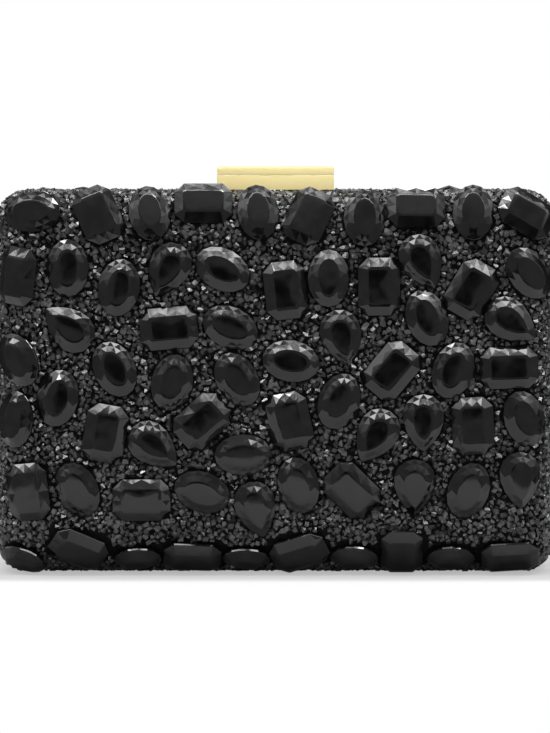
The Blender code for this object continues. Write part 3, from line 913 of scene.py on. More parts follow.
class Cut(Enum):
    """The cuts of the stones."""

    OCTAGON = "octagon"
    OVAL = "oval"
    SMALL_OVAL = "small_oval"
    PEAR = "pear"


@dataclass(frozen=True)
class Stone:
    """One cut of stone, modelled once about its seat and copied to its places."""

    cut: Cut
    places: tuple[Place, ...]
    length: float = 18 * MM
    width: float = 13 * MM
    corner: float = 3.0 * MM
    table_corner: float = 0.8 * MM
    back_edge: float = 0.25 * MM
    crown: float = 1.95 * MM
    run: float = 3.05 * MM
    middle_share: float = 0.45
    middle_fall: float = 0.94
    table_dome: tuple[Pair, ...] = (
        (0.8, 0.05 * MM), (0.55, 0.095 * MM), (0.28, 0.12 * MM))
    facet_peak: float = 0.07 * MM
    facet_edge: float = 0.1 * MM
    facet_turn: float = 16.0
    flat_turn: float = 5.0
    steps: int = 16
    blunt: float = 0.65
    pear_girth: float = 0.8311

    def outline(self, inset: float, turn: float, corner: float) -> list[Pair]:
        """The stone's outline, drawn in by an inset.

        Args:
            inset: How far inside the girdle.
            turn: How many steps the points are turned round the outline.
            corner: The cut corner of an octagon.

        Returns:
            Points (x, y) about the middle of the stone.
        """
        x, y = self.width / 2 - inset, self.length / 2 - inset
        if self.cut is Cut.OCTAGON:
            side = [(x, corner - y), (x, 0.0), (x, y - corner), (x - corner, y), (0.0, y),
                    (corner - x, y)]
            return side + [(-a, -b) for a, b in side]
        angles = [math.tau * (i + turn) / self.steps for i in range(self.steps)]
        if self.cut is Cut.PEAR:
            return [(-math.sin(a) * abs(math.sin(a / 2)) ** self.blunt / self.pear_girth * x,
                     math.cos(a) * y) for a in angles]
        return [(x * math.cos(a), y * math.sin(a)) for a in angles]

    def levels(self) -> list[tuple[float, float, float, float]]:
        """The rings from back to table, each by its inset, turn, height and cut corner.

        Returns:
            The rings' values.
        """
        octagon = self.cut is Cut.OCTAGON
        levels = [(self.back_edge, 0.0, 0.0, self.corner),
                  (0.0, 0.0, self.back_edge, self.corner), (0.0, 0.0, GIRDLE, self.corner)]
        if not octagon:
            rise = self.crown * self.middle_share * self.middle_fall
            levels.append((self.run * self.middle_share, 0.5, GIRDLE + rise, 0.0))
        return [*levels, (self.run, 0.0 if octagon else 1.0, GIRDLE + self.crown,
                          self.table_corner)]

    def model(self) -> Piece:
        """Model the stone: back, girdle, faceted crown and a faintly domed table.

        Returns:
            The stone, as a pattern to copy.
        """
        top = GIRDLE + self.crown
        rings = [[Vector((x, y, z)) for x, y in self.outline(inset, turn, corner)]
                 for inset, turn, z, corner in self.levels()]
        table = rings[-1]
        for share, rise in self.table_dome:
            rings.append([Vector((p.x * share, p.y * share, top + rise)) for p in table])
        stone = Bench.loft(f"{self.cut.value}_pattern", rings)
        Bench.edit()
        mesh = bmesh.from_edit_mesh(stone.data)
        for face in mesh.faces:
            face.select_set(GIRDLE < face.calc_center_median().z < top - self.facet_edge)
        bmesh.update_edit_mesh(stone.data)
        if self.cut is Cut.OCTAGON:
            bpy.ops.mesh.poke(offset=self.facet_peak)
        else:
            bpy.ops.mesh.quads_convert_to_tris(quad_method="SHORTEST_DIAGONAL")
        bpy.ops.object.mode_set(mode="OBJECT")
        Bench.bevel(stone, self.facet_edge, 1, self.facet_turn)
        for face in stone.data.polygons:
            face.use_smooth = face.normal.z > math.cos(math.radians(self.flat_turn))
        return stone

    def covers(self, points: np.ndarray, margin: float) -> np.ndarray:
        """Which points of the stone's own plane lie inside its outline grown by a margin.

        Args:
            points: Places about the middle of the stone.
            margin: How far the outline grows.

        Returns:
            True for each point inside.
        """
        outline = np.array(self.outline(-margin, 0.0, self.corner))
        x, y = points[:, 0], points[:, 1]
        inside = np.zeros(len(points), bool)
        for first, second in zip(outline, np.roll(outline, -1, axis=0)):
            spans = (first[1] > y) != (second[1] > y)
            rise = second[1] - first[1]
            cross = first[0] + (second[0] - first[0]) * (y - first[1]) / (rise if rise else 1e-9)
            inside ^= spans & (x < cross)
        return inside


STONES = (
    Stone(Cut.OCTAGON, OCTAGON_PLACE_SHARES, run=2.8 * MM),
    Stone(Cut.OVAL, OVAL_PLACE_SHARES),
    Stone(Cut.SMALL_OVAL, SMALL_OVAL_PLACE_SHARES, length=15.2 * MM, width=11.6 * MM),
    Stone(Cut.PEAR, PEAR_PLACE_SHARES),
)
SeatedStones = list[tuple[Stone, list[Matrix]]]


@dataclass(frozen=True)
class Seats:
    """Where the stones sit on one half's cover."""

    half: Half
    seed: int = 5
    sink: float = 0.4 * MM
    reach: float = 2.5 * MM
    far: float = 60 * MM
    front_top_lean_share: float = 0.5
    front_top_lean: float = 21.0
    base_lean_share: float = 1.18
    base_row: float = -0.5
    base_slide: float = 1.4 * MM
    tilt: float = 3.6

    def matrices(self) -> SeatedStones:
        """Each cut with the frames of its stones on the cover.

        Returns:
            The seated stones.
        """
        rings = FORM.rings(self.half, 0, LAYERS.cover_start)
        points = [p for ring in rings for p in ring]
        count = len(rings[0])
        faces = [(r * count + i, r * count + (i + 1) % count, (r + 1) * count + (i + 1) % count,
                  (r + 1) * count + i) for r in range(len(rings) - 1) for i in range(count)]
        faces.append(tuple(range((len(rings) - 1) * count, len(rings) * count)))
        tree = BVHTree.FromPolygons(points, faces)
        chance = np.random.default_rng(self.seed)
        seats = []
        for stone in STONES:
            row = []
            for place in stone.places:
                lean = [math.radians(a) for a in chance.uniform(-self.tilt, self.tilt, 2)]
                tilt = Matrix.Rotation(lean[0], 4, "X"), Matrix.Rotation(lean[1], 4, "Y")
                row.append(self.seat(tree, points, *place) @ tilt[0] @ tilt[1])
            seats.append((stone, row))
        return seats

    def seat(self, tree: BVHTree, points: Sequence[Vector], across: float, up: float,
             turn: float) -> Matrix:
        """Frame of one stone: its back is sunk in the highest point beneath it.

        Args:
            tree: The cover's surface.
            points: The surface's points.
            across: The stone's place to the right, as a share of half the width.
            up: Its place up, as a share of the height.
            turn: How far it is turned from upright, in degrees.

        Returns:
            The frame.
        """
        side = self.half.value

        def surface(x: float, z: float) -> Vector:
            """The cover's surface straight behind a place of the face."""
            return tree.ray_cast(Vector((x, side * self.far, z)), Vector((0, -side, 0)))[0]

        x, z = -side * across * FORM.width / 2, up * FORM.height
        right = surface(x + self.reach, z) - surface(x - self.reach, z)
        rise = surface(x, z + self.reach) - surface(x, z - self.reach)
        normal = right.cross(rise).normalized()
        if normal.y * side < 0:
            normal = -normal
        lean = math.asin(normal.z)
        if lean < 0:
            lean *= self.base_lean_share
        elif self.half is Half.FRONT:
            lean = min(lean * self.front_top_lean_share, math.radians(self.front_top_lean))
        level = Vector((normal.x, normal.y, 0)).normalized()
        normal = level * math.cos(lean) + Vector((0, 0, math.sin(lean)))
        foot = surface(x - normal.x * GIRDLE, z - normal.z * GIRDLE)
        height = max(p.dot(normal) for p in points) - self.sink
        origin = foot + normal * (height - foot.dot(normal))
        upright = (Vector((0, 0, 1)) - normal * normal.z).normalized()
        if normal.z < self.base_row:
            origin -= upright * self.base_slide
        angle = math.radians(turn)
        long_axis = upright * math.cos(angle) + upright.cross(normal) * math.sin(angle)
        axes = Matrix((long_axis.cross(normal), long_axis, normal)).transposed()
        return Matrix.Translation(origin) @ axes.to_4x4()


# Granules


@dataclass(frozen=True)
class FootPlate:
    """The top of one half where the clasp's foot plate lies and no granules do."""

    half_width: float
    reach: float
    depth: float = 3 * MM

    def under(self, place: np.ndarray) -> np.ndarray:
        """Which places lie beneath the plate."""
        near = (np.abs(place[:, 0]) < self.half_width) & (np.abs(place[:, 1]) < self.reach)
        return near & (place[:, 2] > FORM.height - self.depth)


FOOT_PLATES = {
    Half.FRONT: FootPlate(18.5 * MM, 6.2 * MM), Half.REAR: FootPlate(15.0 * MM, 9.8 * MM)}


@dataclass(frozen=True)
class GranuleField:
    """Crushed granules packed over one half's cover, between the stones."""

    half: Half
    seed: int = 20
    variants: int = 10
    block: float = 1.5
    cuts: int = 5
    cut_depth: Pair = (0.5, 0.78)
    weld: float = 0.12
    large: Pair = (0.68 * MM, 0.88 * MM)
    small: Pair = (0.42 * MM, 0.58 * MM)
    tries: tuple[int, int] = (60000, 100000)
    inset: float = 0.64 * MM
    rim: float = 0.5 * MM
    margin: float = 0.45 * MM
    base_margin: float = 1.3 * MM
    base_facing: float = -0.35
    beneath: float = -1.8 * MM
    swell: float = 1.42
    lean: float = 0.22
    breadth: Pair = (0.85, 1.15)
    height: Pair = (0.7, 0.95)
    lowest: float = 0.1 * MM
    split: float = 0.52

    def patterns(self, chance: np.random.Generator) -> list[tuple[np.ndarray, np.ndarray]]:
        """Model a few broken granules: a block split along flat planes.

        Args:
            chance: The seeded source of chance.

        Returns:
            Each pattern's points and triangles.
        """
        made = []
        for _ in range(self.variants):
            Bench.only()
            bpy.ops.mesh.primitive_cube_add(size=self.block,
                                            rotation=tuple(chance.uniform(0, 3, 3)))
            bpy.ops.object.transform_apply(location=False, rotation=True, scale=False)
            lump = bpy.context.object
            Bench.edit()
            for _ in range(self.cuts):
                direction = Vector(chance.normal(size=3)).normalized()
                bpy.ops.mesh.select_all(action="SELECT")
                bpy.ops.mesh.bisect(
                    plane_co=direction * chance.uniform(*self.cut_depth), plane_no=direction,
                    use_fill=True, clear_outer=True)
            bpy.ops.mesh.select_all(action="SELECT")
            bpy.ops.mesh.remove_doubles(threshold=self.weld)
            bpy.ops.mesh.quads_convert_to_tris()
            Bench.finish_edit()
            points = np.array([tuple(v.co) for v in lump.data.vertices])
            faces = [tuple(p.vertices) for p in lump.data.polygons if len(p.vertices) == 3]
            made.append((points, np.array(faces)))
            Bench.drop(lump)
        return made

    @staticmethod
    def corners(grid: np.ndarray) -> list[np.ndarray]:
        """The first, second and third corners of the triangles over a grid of rings.

        Args:
            grid: Values on the rings.

        Returns:
            Each corner's values, for every triangle.
        """
        first, second = grid[:-1], grid[1:]
        ahead, across = np.roll(first, -1, 1), np.roll(second, -1, 1)
        return [np.concatenate([a.reshape(-1, 3), b.reshape(-1, 3)])
                for a, b in ((first, ahead), (ahead, across), (second, second))]

    def sites(self, seats: SeatedStones, chance: np.random.Generator
              ) -> tuple[np.ndarray, np.ndarray, np.ndarray]:
        """Choose where granules lie, the larger ones first.

        Args:
            seats: The stones, which keep granules off.
            chance: The seeded source of chance.

        Returns:
            Places, outward directions and radii.
        """
        flat, facing = (self.corners(grid) for grid in FORM.grid(
            self.half, self.inset, LAYERS.cover_start + self.rim))
        area = np.linalg.norm(np.cross(flat[1] - flat[0], flat[2] - flat[0]), axis=1)
        total = sum(self.tries)
        chosen = chance.choice(len(area), total, p=area / area.sum())
        u, v = chance.random(total), chance.random(total)
        over = u + v > 1
        u[over], v[over] = 1 - u[over], 1 - v[over]
        weights = np.stack([1 - u - v, u, v])[..., None]
        place = sum(w * f[chosen] for w, f in zip(weights, flat))
        out = unit(sum(w * f[chosen] for w, f in zip(weights, facing)))
        radius = np.concatenate([chance.uniform(*self.large, self.tries[0]),
                                 chance.uniform(*self.small, self.tries[1])])
        free = self.free(place, seats)
        place, out, radius = place[free], out[free], radius[free]
        kept = self.pack(place, radius)
        return place[kept], out[kept], radius[kept]

    def free(self, place: np.ndarray, seats: SeatedStones) -> np.ndarray:
        """Which places lie clear of the stones and the clasp's foot plate.

        Args:
            place: The places.
            seats: The stones.

        Returns:
            True for each free place.
        """
        free = ~FOOT_PLATES[self.half].under(place)
        for stone, matrices in seats:
            for matrix in matrices:
                local = (place - np.array(matrix.translation)) @ np.array(matrix.to_3x3())
                near = np.abs(local).max(axis=1) < stone.length
                points = local[near]
                low = matrix.col[2].z < self.base_facing
                covered = stone.covers(points, self.base_margin if low else self.margin)
                covered &= points[:, 2] > self.beneath
                free[np.flatnonzero(near)[covered]] = False
        return free

    @staticmethod
    def pack(place: np.ndarray, radius: np.ndarray) -> list[int]:
        """Keep each place that touches none kept before it.

        Args:
            place: The places.
            radius: The granules' radii.

        Returns:
            The numbers of those kept.
        """
        keys = np.floor(place / (2 * float(radius.max()))).astype(int).tolist()
        cells: dict[tuple[int, int, int], list[int]] = {}
        kept = []
        steps = [(i, j, k) for i in (-1, 0, 1) for j in (-1, 0, 1) for k in (-1, 0, 1)]
        points, radii = place.tolist(), radius.tolist()
        for index, (a, b, c) in enumerate(keys):
            x, y, z = points[index]
            reach = radii[index]
            near = (other for i, j, k in steps for other in cells.get((a + i, b + j, c + k), ()))
            if all((points[n][0] - x) ** 2 + (points[n][1] - y) ** 2 + (points[n][2] - z) ** 2
                   >= (reach + radii[n]) ** 2 for n in near):
                kept.append(index)
                cells.setdefault((a, b, c), []).append(index)
        return kept

    def axes(self, out: np.ndarray, radius: np.ndarray, chance: np.random.Generator) -> np.ndarray:
        """Turn, lean and stretch each granule by chance.

        Args:
            out: The granules' outward directions.
            radius: Their radii.
            chance: The seeded source of chance.

        Returns:
            Three axes for each granule.
        """
        count = len(out)
        helper = np.where(np.abs(out[:, 2:3]) < 0.8, [[0.0, 0.0, 1.0]], [[1.0, 0.0, 0.0]])
        east = unit(np.cross(helper, out))
        spin = chance.uniform(0, math.tau, count)[:, None]
        first = east * np.cos(spin) + np.cross(out, east) * np.sin(spin)
        up = unit(out + first * chance.normal(0, self.lean, count)[:, None])
        second = unit(np.cross(up, first))
        size = radius[:, None] * self.swell
        return np.stack([axis * size * chance.uniform(*span, count)[:, None] for axis, span in (
            (np.cross(second, up), self.breadth), (second, self.breadth), (up, self.height))],
            axis=1)

    def build(self, seats: SeatedStones) -> list[Piece]:
        """Lay the granules and make them into two pieces, upper and lower.

        Args:
            seats: The stones, which keep granules off.

        Returns:
            The pieces.
        """
        chance = np.random.default_rng(self.seed + self.half.value)
        patterns = self.patterns(chance)
        place, out, radius = self.sites(seats, chance)
        count = len(place)
        axes = self.axes(out, radius, chance)
        kind = chance.integers(0, len(patterns), count)
        tone = chance.random(count)
        high = place[:, 2] >= FORM.height * self.split
        pieces = []
        for label, part in (("upper", high), ("lower", ~high)):
            vertices, faces, tones, offset = [], [], [], 0
            for number, (points, triangles) in enumerate(patterns):
                rows = np.flatnonzero(part & (kind == number))
                laid = np.einsum("pi,nij->npj", points, axes[rows]) + place[rows][:, None]
                vertices.append(laid.reshape(-1, 3))
                base = offset + np.arange(len(rows))[:, None, None] * len(points)
                faces.append((triangles[None] + base).reshape(-1, 3))
                tones.append(np.repeat(tone[rows], len(points)))
                offset += len(rows) * len(points)
            points = np.concatenate(vertices)
            points[:, 2] = np.maximum(points[:, 2], self.lowest)
            mesh = bpy.data.meshes.new(f"{self.half.label}_granules_{label}")
            mesh.from_pydata(points.tolist(), [], np.concatenate(faces).tolist())
            mesh.attributes.new(TONE, "FLOAT", "POINT").data.foreach_set(
                "value", np.concatenate(tones).astype(np.float32))
            obj = bpy.data.objects.new(mesh.name, mesh)
            bpy.context.scene.collection.objects.link(obj)
            pieces.append(obj)
        LOG.info("%s half: %d granules", self.half.label, count)
        return pieces


@dataclass(frozen=True)
class JewelledCover:
    """The cover of one half: glued bed, granules and stones."""

    half: Half
    bed_inset: float = 0.95 * MM

    def build(self) -> None:
        """Build and dress the cover."""
        node = f"{self.half.label}_cover"
        outer, inner = (FORM.rings(self.half, inset, LAYERS.cover_start, corner_steps=10,
                                   edge_steps=10, dome_steps=5)
                        for inset in (self.bed_inset, LAYERS.cover))
        bed = Bench.loft(f"{self.half.label}_granule_bed", outer[::-1] + inner)
        Bench.smooth(bed)
        set_piece(bed, self.half.body, Finish.BED, node)
        seats = Seats(self.half).matrices()
        for stone, matrices in seats:
            pattern = stone.model()
            copies = [Bench.copy(pattern, f"{stone.cut.value}_{i}", matrix)
                      for i, matrix in enumerate(matrices)]
            Bench.drop(pattern)
            stones = Bench.join(f"{self.half.label}_{stone.cut.value}_stones", copies)
            set_piece(stones, self.half.body, Finish.RESIN, node)
        for piece in GranuleField(self.half).build(seats):
            set_piece(piece, self.half.body, Finish.GRANULES, node)


# Linings and pocket


CLOTH_TURN = 60.0


def thicken(obj: Piece, thickness: float) -> None:
    """Give a sheet its thickness and shade it as cloth."""
    Bench.apply(obj, "SOLIDIFY", thickness=thickness, offset=0.0)
    Bench.smooth(obj, CLOTH_TURN)


@dataclass(frozen=True)
class SatinLining:
    """Satin drawn over the inside of one half, with soft puckers at its corners."""

    half: Half
    inset: float = 3.7 * MM
    thickness: float = 0.25 * MM
    calm_depth: float = 6 * MM
    calm_run: float = 5 * MM
    lift: float = 0.1 * MM
    ripple: float = 0.28 * MM
    ripple_scale: float = 26 * MM
    pucker: float = 0.3 * MM
    pucker_reach: float = 16 * MM
    folds: int = 13
    corner_across: float = 76 * MM
    corner_heights: Pair = (11 * MM, 108 * MM)

    def slack(self, place: Vector) -> float:
        """How far the satin stands off the board at a place: ripples and corner puckers.

        Args:
            place: The place.

        Returns:
            The distance.
        """
        slack = noise.fractal(place / self.ripple_scale, 0.7, 2.0, 3) * self.ripple
        for x in pair(self.corner_across):
            for z in self.corner_heights:
                away = Vector((place.x - x, 0, place.z - z))
                near = math.exp(-away.length / self.pucker_reach)
                angle = math.atan2(away.z, away.x)
                slack += self.pucker * near * 0.5 * (1 + math.sin(angle * self.folds))
        return slack + self.lift

    def build(self) -> BVHTree:
        """Build and dress the lining.

        Returns:
            The lining's surface, which the pocket is sewn to.
        """
        rings = FORM.rings(self.half, self.inset, LAYERS.layer_start, corner_steps=8,
                           edge_steps=8, dome_steps=9)
        lining = Bench.loft(f"{self.half.label}_satin_lining", rings, Ends.LAST)
        Bench.only(lining)
        Bench.edit()
        bpy.ops.mesh.select_all(action="SELECT")
        bpy.ops.mesh.subdivide(number_cuts=2, smoothness=0)
        Bench.finish_edit()
        mesh = lining.data
        normals = [v.normal.copy() for v in mesh.vertices]
        middle = Vector((0, 0, FORM.height / 2))
        inward = -1 if normals[0].dot(mesh.vertices[0].co - middle) > 0 else 1
        for vert, normal in zip(mesh.vertices, normals):
            deep = min(1.0, max(0.0, (abs(vert.co.y) - self.calm_depth) / self.calm_run))
            vert.co += normal * inward * deep * self.slack(vert.co)
        tree = BVHTree.FromPolygons([v.co.copy() for v in mesh.vertices],
                                    [tuple(f.vertices) for f in mesh.polygons])
        thicken(lining, self.thickness)
        set_piece(lining, self.half.body, Finish.SATIN, f"{self.half.label}_lining")
        return tree


@dataclass(frozen=True)
class SlipPocket:
    """The satin slip pocket on the rear lining, gathered on an elastic at its top."""

    width: float = 110 * MM
    height: float = 50 * MM
    thickness: float = 0.35 * MM
    rise: float = 22 * MM
    lift: float = 3.1 * MM
    shyness: float = 0.35 * MM
    gathers: int = 17
    gather: float = 0.4 * MM
    slack: float = 0.5 * MM
    slack_scale: float = 14 * MM
    sag: float = 1.2 * MM
    hem: float = 5 * MM
    hem_proud: float = 0.4 * MM
    hem_swell: float = 0.45 * MM
    hem_sides: int = 10
    columns: int = 132
    rows: int = 36
    stitch: float = 1.5 * MM
    stitch_radius: float = 0.16 * MM
    stitch_edge: float = 0.12 * MM
    stitch_proud: float = 0.22 * MM
    stitch_pitch: float = 2.3 * MM
    seams: tuple[tuple[float, float, float, float], ...] = (
        (-0.975, 0.97, -0.975, 0.03), (-0.97, 0.03, 0.97, 0.03),
        (0.975, 0.03, 0.975, 0.97), (-0.96, 0.885, 0.96, 0.885))

    def point(self, lining: BVHTree, u: float, v: float, proud: float = 0.0) -> Vector:
        """A point of the pocket.

        Args:
            lining: The surface that it is sewn to.
            u: Place across, from -1 to 1.
            v: Place up, from 0 to 1.
            proud: How far to stand off the pocket's face.

        Returns:
            The point.
        """
        x, z = u * self.width / 2, self.rise + v * self.height
        hit = lining.ray_cast(Vector((x, 0, z)), Vector((0, 1, 0)))[0]
        belly = (1 - abs(u) ** 3) * (1 - (1 - min(1.0, v * 1.5)) ** 2)
        gather = self.gather * v ** 2 * math.sin(u * math.pi * self.gathers) * (1 - abs(u) ** 6)
        slack = noise.noise(Vector((x, 0, z)) / self.slack_scale) * self.slack
        off = self.shyness + belly * (self.lift * (0.55 + 0.45 * v) * 0.8 + gather + slack)
        return Vector((x, hit.y - off - proud, z - self.sag * v ** 4 * (1 - u * u)))

    def build(self, lining: BVHTree) -> None:
        """Build and dress the pocket, its hem and its stitches.

        Args:
            lining: The surface that it is sewn to.
        """
        Bench.only()
        bpy.ops.mesh.primitive_grid_add(x_subdivisions=self.columns, y_subdivisions=self.rows,
                                        size=2)
        pocket = Bench.name("rear_satin_pocket")
        for vert in pocket.data.vertices:
            vert.co = self.point(lining, vert.co.x, (vert.co.y + 1) / 2)
        thicken(pocket, self.thickness)
        set_piece(pocket, Half.REAR.body, Finish.SATIN, "rear_pocket")
        hem = self.hem_band(lining)
        set_piece(hem, Half.REAR.body, Finish.SATIN)
        stitches = self.stitches(lining)
        set_piece(stitches, Half.REAR.body, Finish.THREAD)

    def hem_band(self, lining: BVHTree) -> Piece:
        """The folded hem over the elastic, a flat gathered tube along the top edge.

        Args:
            lining: The surface that the pocket is sewn to.

        Returns:
            The hem.
        """
        angles = [math.tau * k / self.hem_sides for k in range(self.hem_sides)]
        section = [(1 - self.hem / 2 / self.height * (1 + math.cos(angle)),
                    self.hem_proud + self.hem_swell * math.sin(angle)) for angle in angles]
        hem = Bench.loft("rear_pocket_hem", [
            [self.point(lining, -1 + 2 * i / self.columns, v, proud) for v, proud in section]
            for i in range(self.columns + 1)])
        Bench.smooth(hem, CLOTH_TURN)
        return hem

    def stitches(self, lining: BVHTree) -> Piece:
        """The row of stitches down the sides, along the base and under the hem.

        Args:
            lining: The surface that the pocket is sewn to.

        Returns:
            The stitches.
        """
        pattern = Bench.rod("stitch_pattern", (-self.stitch / 2, 0, 0), (self.stitch / 2, 0, 0),
                            self.stitch_radius, 8)
        Bench.soften(pattern, self.stitch_edge)
        made = []
        for u, v, last_u, last_v in self.seams:
            across, up = last_u - u, last_v - v
            count = int(math.hypot(across * self.width / 2, up * self.height)
                        / self.stitch_pitch)
            for i in range(count):
                ends = [self.point(lining, u + across * s, v + up * s, self.stitch_proud)
                        for s in ((i + share) / count for share in (0.25, 0.5, 0.75))]
                turn = (ends[2] - ends[0]).to_track_quat("X", "Z").to_matrix().to_4x4()
                made.append(Bench.copy(pattern, f"stitch_{len(made)}",
                                       Matrix.Translation(ends[1]) @ turn))
        Bench.drop(pattern)
        return Bench.join("rear_pocket_stitches", made)


# Metal work


def arc(centre: Pair, radius: float, first: float, last: float, steps: int) -> list[Pair]:
    """Points (y, z) on an arc, from the first angle to the last, in degrees."""
    angles = [math.radians(first + (last - first) * i / steps) for i in range(steps + 1)]
    return [(centre[0] + radius * math.cos(a), centre[1] + radius * math.sin(a)) for a in angles]


@dataclass(frozen=True)
class Rivet:
    """A rivet: a round shank from its lower end up, and a domed head where it has one."""

    low: float
    top: float
    shank: float = 0.8 * MM
    head: float | None = None
    reach: float = 1.25 * MM
    chamfer: float = 0.1 * MM
    sides: int = 24
    dome_steps: int = 5
    smooth_turn: float = 40.0

    def build(self, half: Half, node: str, x: float, depth: float) -> None:
        """Build and dress the rivet.

        Args:
            half: The half that it fastens to.
            node: The node that it stands for.
            x: Its place across.
            depth: Its distance from the parting plane.
        """
        levels = [(self.low, self.shank - self.chamfer), (self.low + self.chamfer, self.shank)]
        if self.head is None:
            levels += [(self.top - self.chamfer, self.shank), (self.top, levels[0][1])]
        else:
            levels += [(self.head, self.shank), (self.head, self.reach)]
            for i in range(1, self.dome_steps + 1):
                angle = math.pi / 2 * i / (self.dome_steps + 0.5)
                levels.append((self.head + (self.top - self.head) * math.sin(angle),
                               self.reach * math.cos(angle)))
        angles = [math.tau * i / self.sides for i in range(self.sides)]
        rings = [[Vector((x + r * math.cos(a), half.value * depth + r * math.sin(a), z))
                  for a in angles] for z, r in levels]
        obj = Bench.loft(f"{node}_turned", rings)
        Bench.smooth(obj, self.smooth_turn)
        set_piece(obj, half.body, Finish.GOLD, node)


@dataclass(frozen=True)
class Hinges:
    """The two barrel hinges at the base, with their pins and rivets."""

    centre: float = 46 * MM
    length: float = 24 * MM
    middle: float = 8 * MM
    barrel: float = 1.3 * MM
    pin: float = 0.6 * MM
    clearance: float = 0.25 * MM
    leaf: float = 0.6 * MM
    reach: float = 8 * MM
    rivet: Rivet = Rivet(LAYERS.shell_inset, LAYERS.shell_inset + 1.6 * MM)
    rivet_spacing: float = 14 * MM
    rivet_depth: float = 5 * MM
    hole_ends: Pair = (-2 * MM, 5 * MM)
    pin_edge: float = 0.15 * MM
    leaf_edge: float = 0.1 * MM
    barrel_steps: int = 28

    def rivet_places(self, centre: float) -> Pair:
        """Places of one hinge's rivets along X."""
        return centre - self.rivet_spacing / 2, centre + self.rivet_spacing / 2

    def build(self) -> None:
        """Build and dress both hinges."""
        inner, outer = self.middle / 2, self.length / 2
        for hand, centre in zip(("left", "right"), pair(self.centre)):
            self.plate(hand, Half.FRONT, centre, (pair(inner),))
            self.plate(hand, Half.REAR, centre, (
                (-outer, -inner - LAYERS.gap), (inner + LAYERS.gap, outer)))
            pin = Bench.cross_rod(f"{hand}_turned_hinge_pin", centre, outer, 0,
                                  LAYERS.hinge_height, self.pin)
            Bench.soften(pin, self.pin_edge, segments=3)
            set_piece(pin, Half.REAR.body, Finish.STEEL, f"{hand}_hinge_pin")
        for half in Half:
            places = [x for centre in pair(self.centre) for x in self.rivet_places(centre)]
            for number, x in enumerate(places, 1):
                self.rivet.build(half, f"{half.label}_hinge_rivet_{number}", x,
                                 self.rivet_depth)

    def plate(self, hand: str, half: Half, centre: float, knuckles: Sequence[Pair]) -> None:
        """One leaf with its knuckles rolled round the pin.

        Args:
            hand: The side that the hinge is on.
            half: The half that the leaf is fixed to.
            centre: The hinge's place across.
            knuckles: The knuckles' ends, from the hinge's middle.
        """
        side, height = half.value, LAYERS.hinge_height
        base, top = height - self.leaf / 2, height + self.leaf / 2
        start = self.barrel + LAYERS.gap
        depths = sorted((side * start, side * self.reach))
        name = f"{hand}_{half.label}_rolled_hinge_leaf"
        obj = Bench.box(name, (centre - self.length / 2, depths[0], base),
                        (centre + self.length / 2, depths[1], top))
        turn = math.degrees(math.asin(self.leaf / 2 / self.barrel))
        barrel = arc((0, height), self.barrel, turn, 360 - turn, self.barrel_steps)
        tab = start + self.leaf
        profile = [(side * y, z) for y, z in barrel + [(tab, base), (tab, top)]]
        Bench.work(obj, [Bench.prism("knuckle", profile, centre + low, centre + high)
                         for low, high in knuckles], "UNION")
        tools = [Bench.cross_rod("bore", centre, self.length, 0, height,
                                 self.pin + self.clearance)]
        for x in self.rivet_places(centre):
            y = side * self.rivet_depth
            low, high = ((x, y, z) for z in self.hole_ends)
            tools.append(Bench.rod("rivet_hole", low, high, self.rivet.shank + LAYERS.gap))
        Bench.work(obj, tools)
        Bench.soften(obj, self.leaf_edge, limit=35)
        set_piece(obj, half.body, Finish.GOLD, f"{hand}_{half.label}_hinge_leaf")


HINGES = Hinges()


@dataclass(frozen=True)
class MouthFrame:
    """The gold frame round one half's mouth: a flat rim and a flange over the lining."""

    half: Half
    recess: float = 0.5 * MM
    notch_reach: float = 12.3 * MM
    notch_start: float = 2 * MM
    edge: float = 0.18 * MM
    corner_steps: int = 12

    def loop(self, inset: float, base: float, depth: float) -> Ring:
        """One ring of the frame's section."""
        return FORM.ring(self.half, depth, FORM.width / 2 - inset, FORM.height - inset, base,
                         FORM.corner_radius - inset, self.corner_steps)

    def build(self) -> None:
        """Build and dress the frame."""
        side, near, depth = self.half.value, LAYERS.parting, LAYERS.frame_depth
        flange, inner, back = LAYERS.flange_inset, LAYERS.frame_inset, LAYERS.flange_end
        foot = LAYERS.hinge_height
        obj = Bench.loft(f"{self.half.label}_mouth_frame", [
            self.loop(*section) for section in (
                (self.recess, foot, near), (self.recess, foot, depth), (flange, flange, depth),
                (flange, flange, back), (inner, inner, back), (inner, inner, near))],
            Ends.JOINED)
        start, end = sorted((-side * self.notch_start, side * (depth + LAYERS.gap)))
        top = foot + HINGES.barrel + LAYERS.gap
        Bench.work(obj, [
            Bench.box("hinge_notch", (centre - self.notch_reach, start, -self.notch_start),
                      (centre + self.notch_reach, end, top)) for centre in pair(HINGES.centre)])
        Bench.soften(obj, self.edge)
        set_piece(obj, self.half.body, Finish.GOLD, f"{self.half.label}_frame")


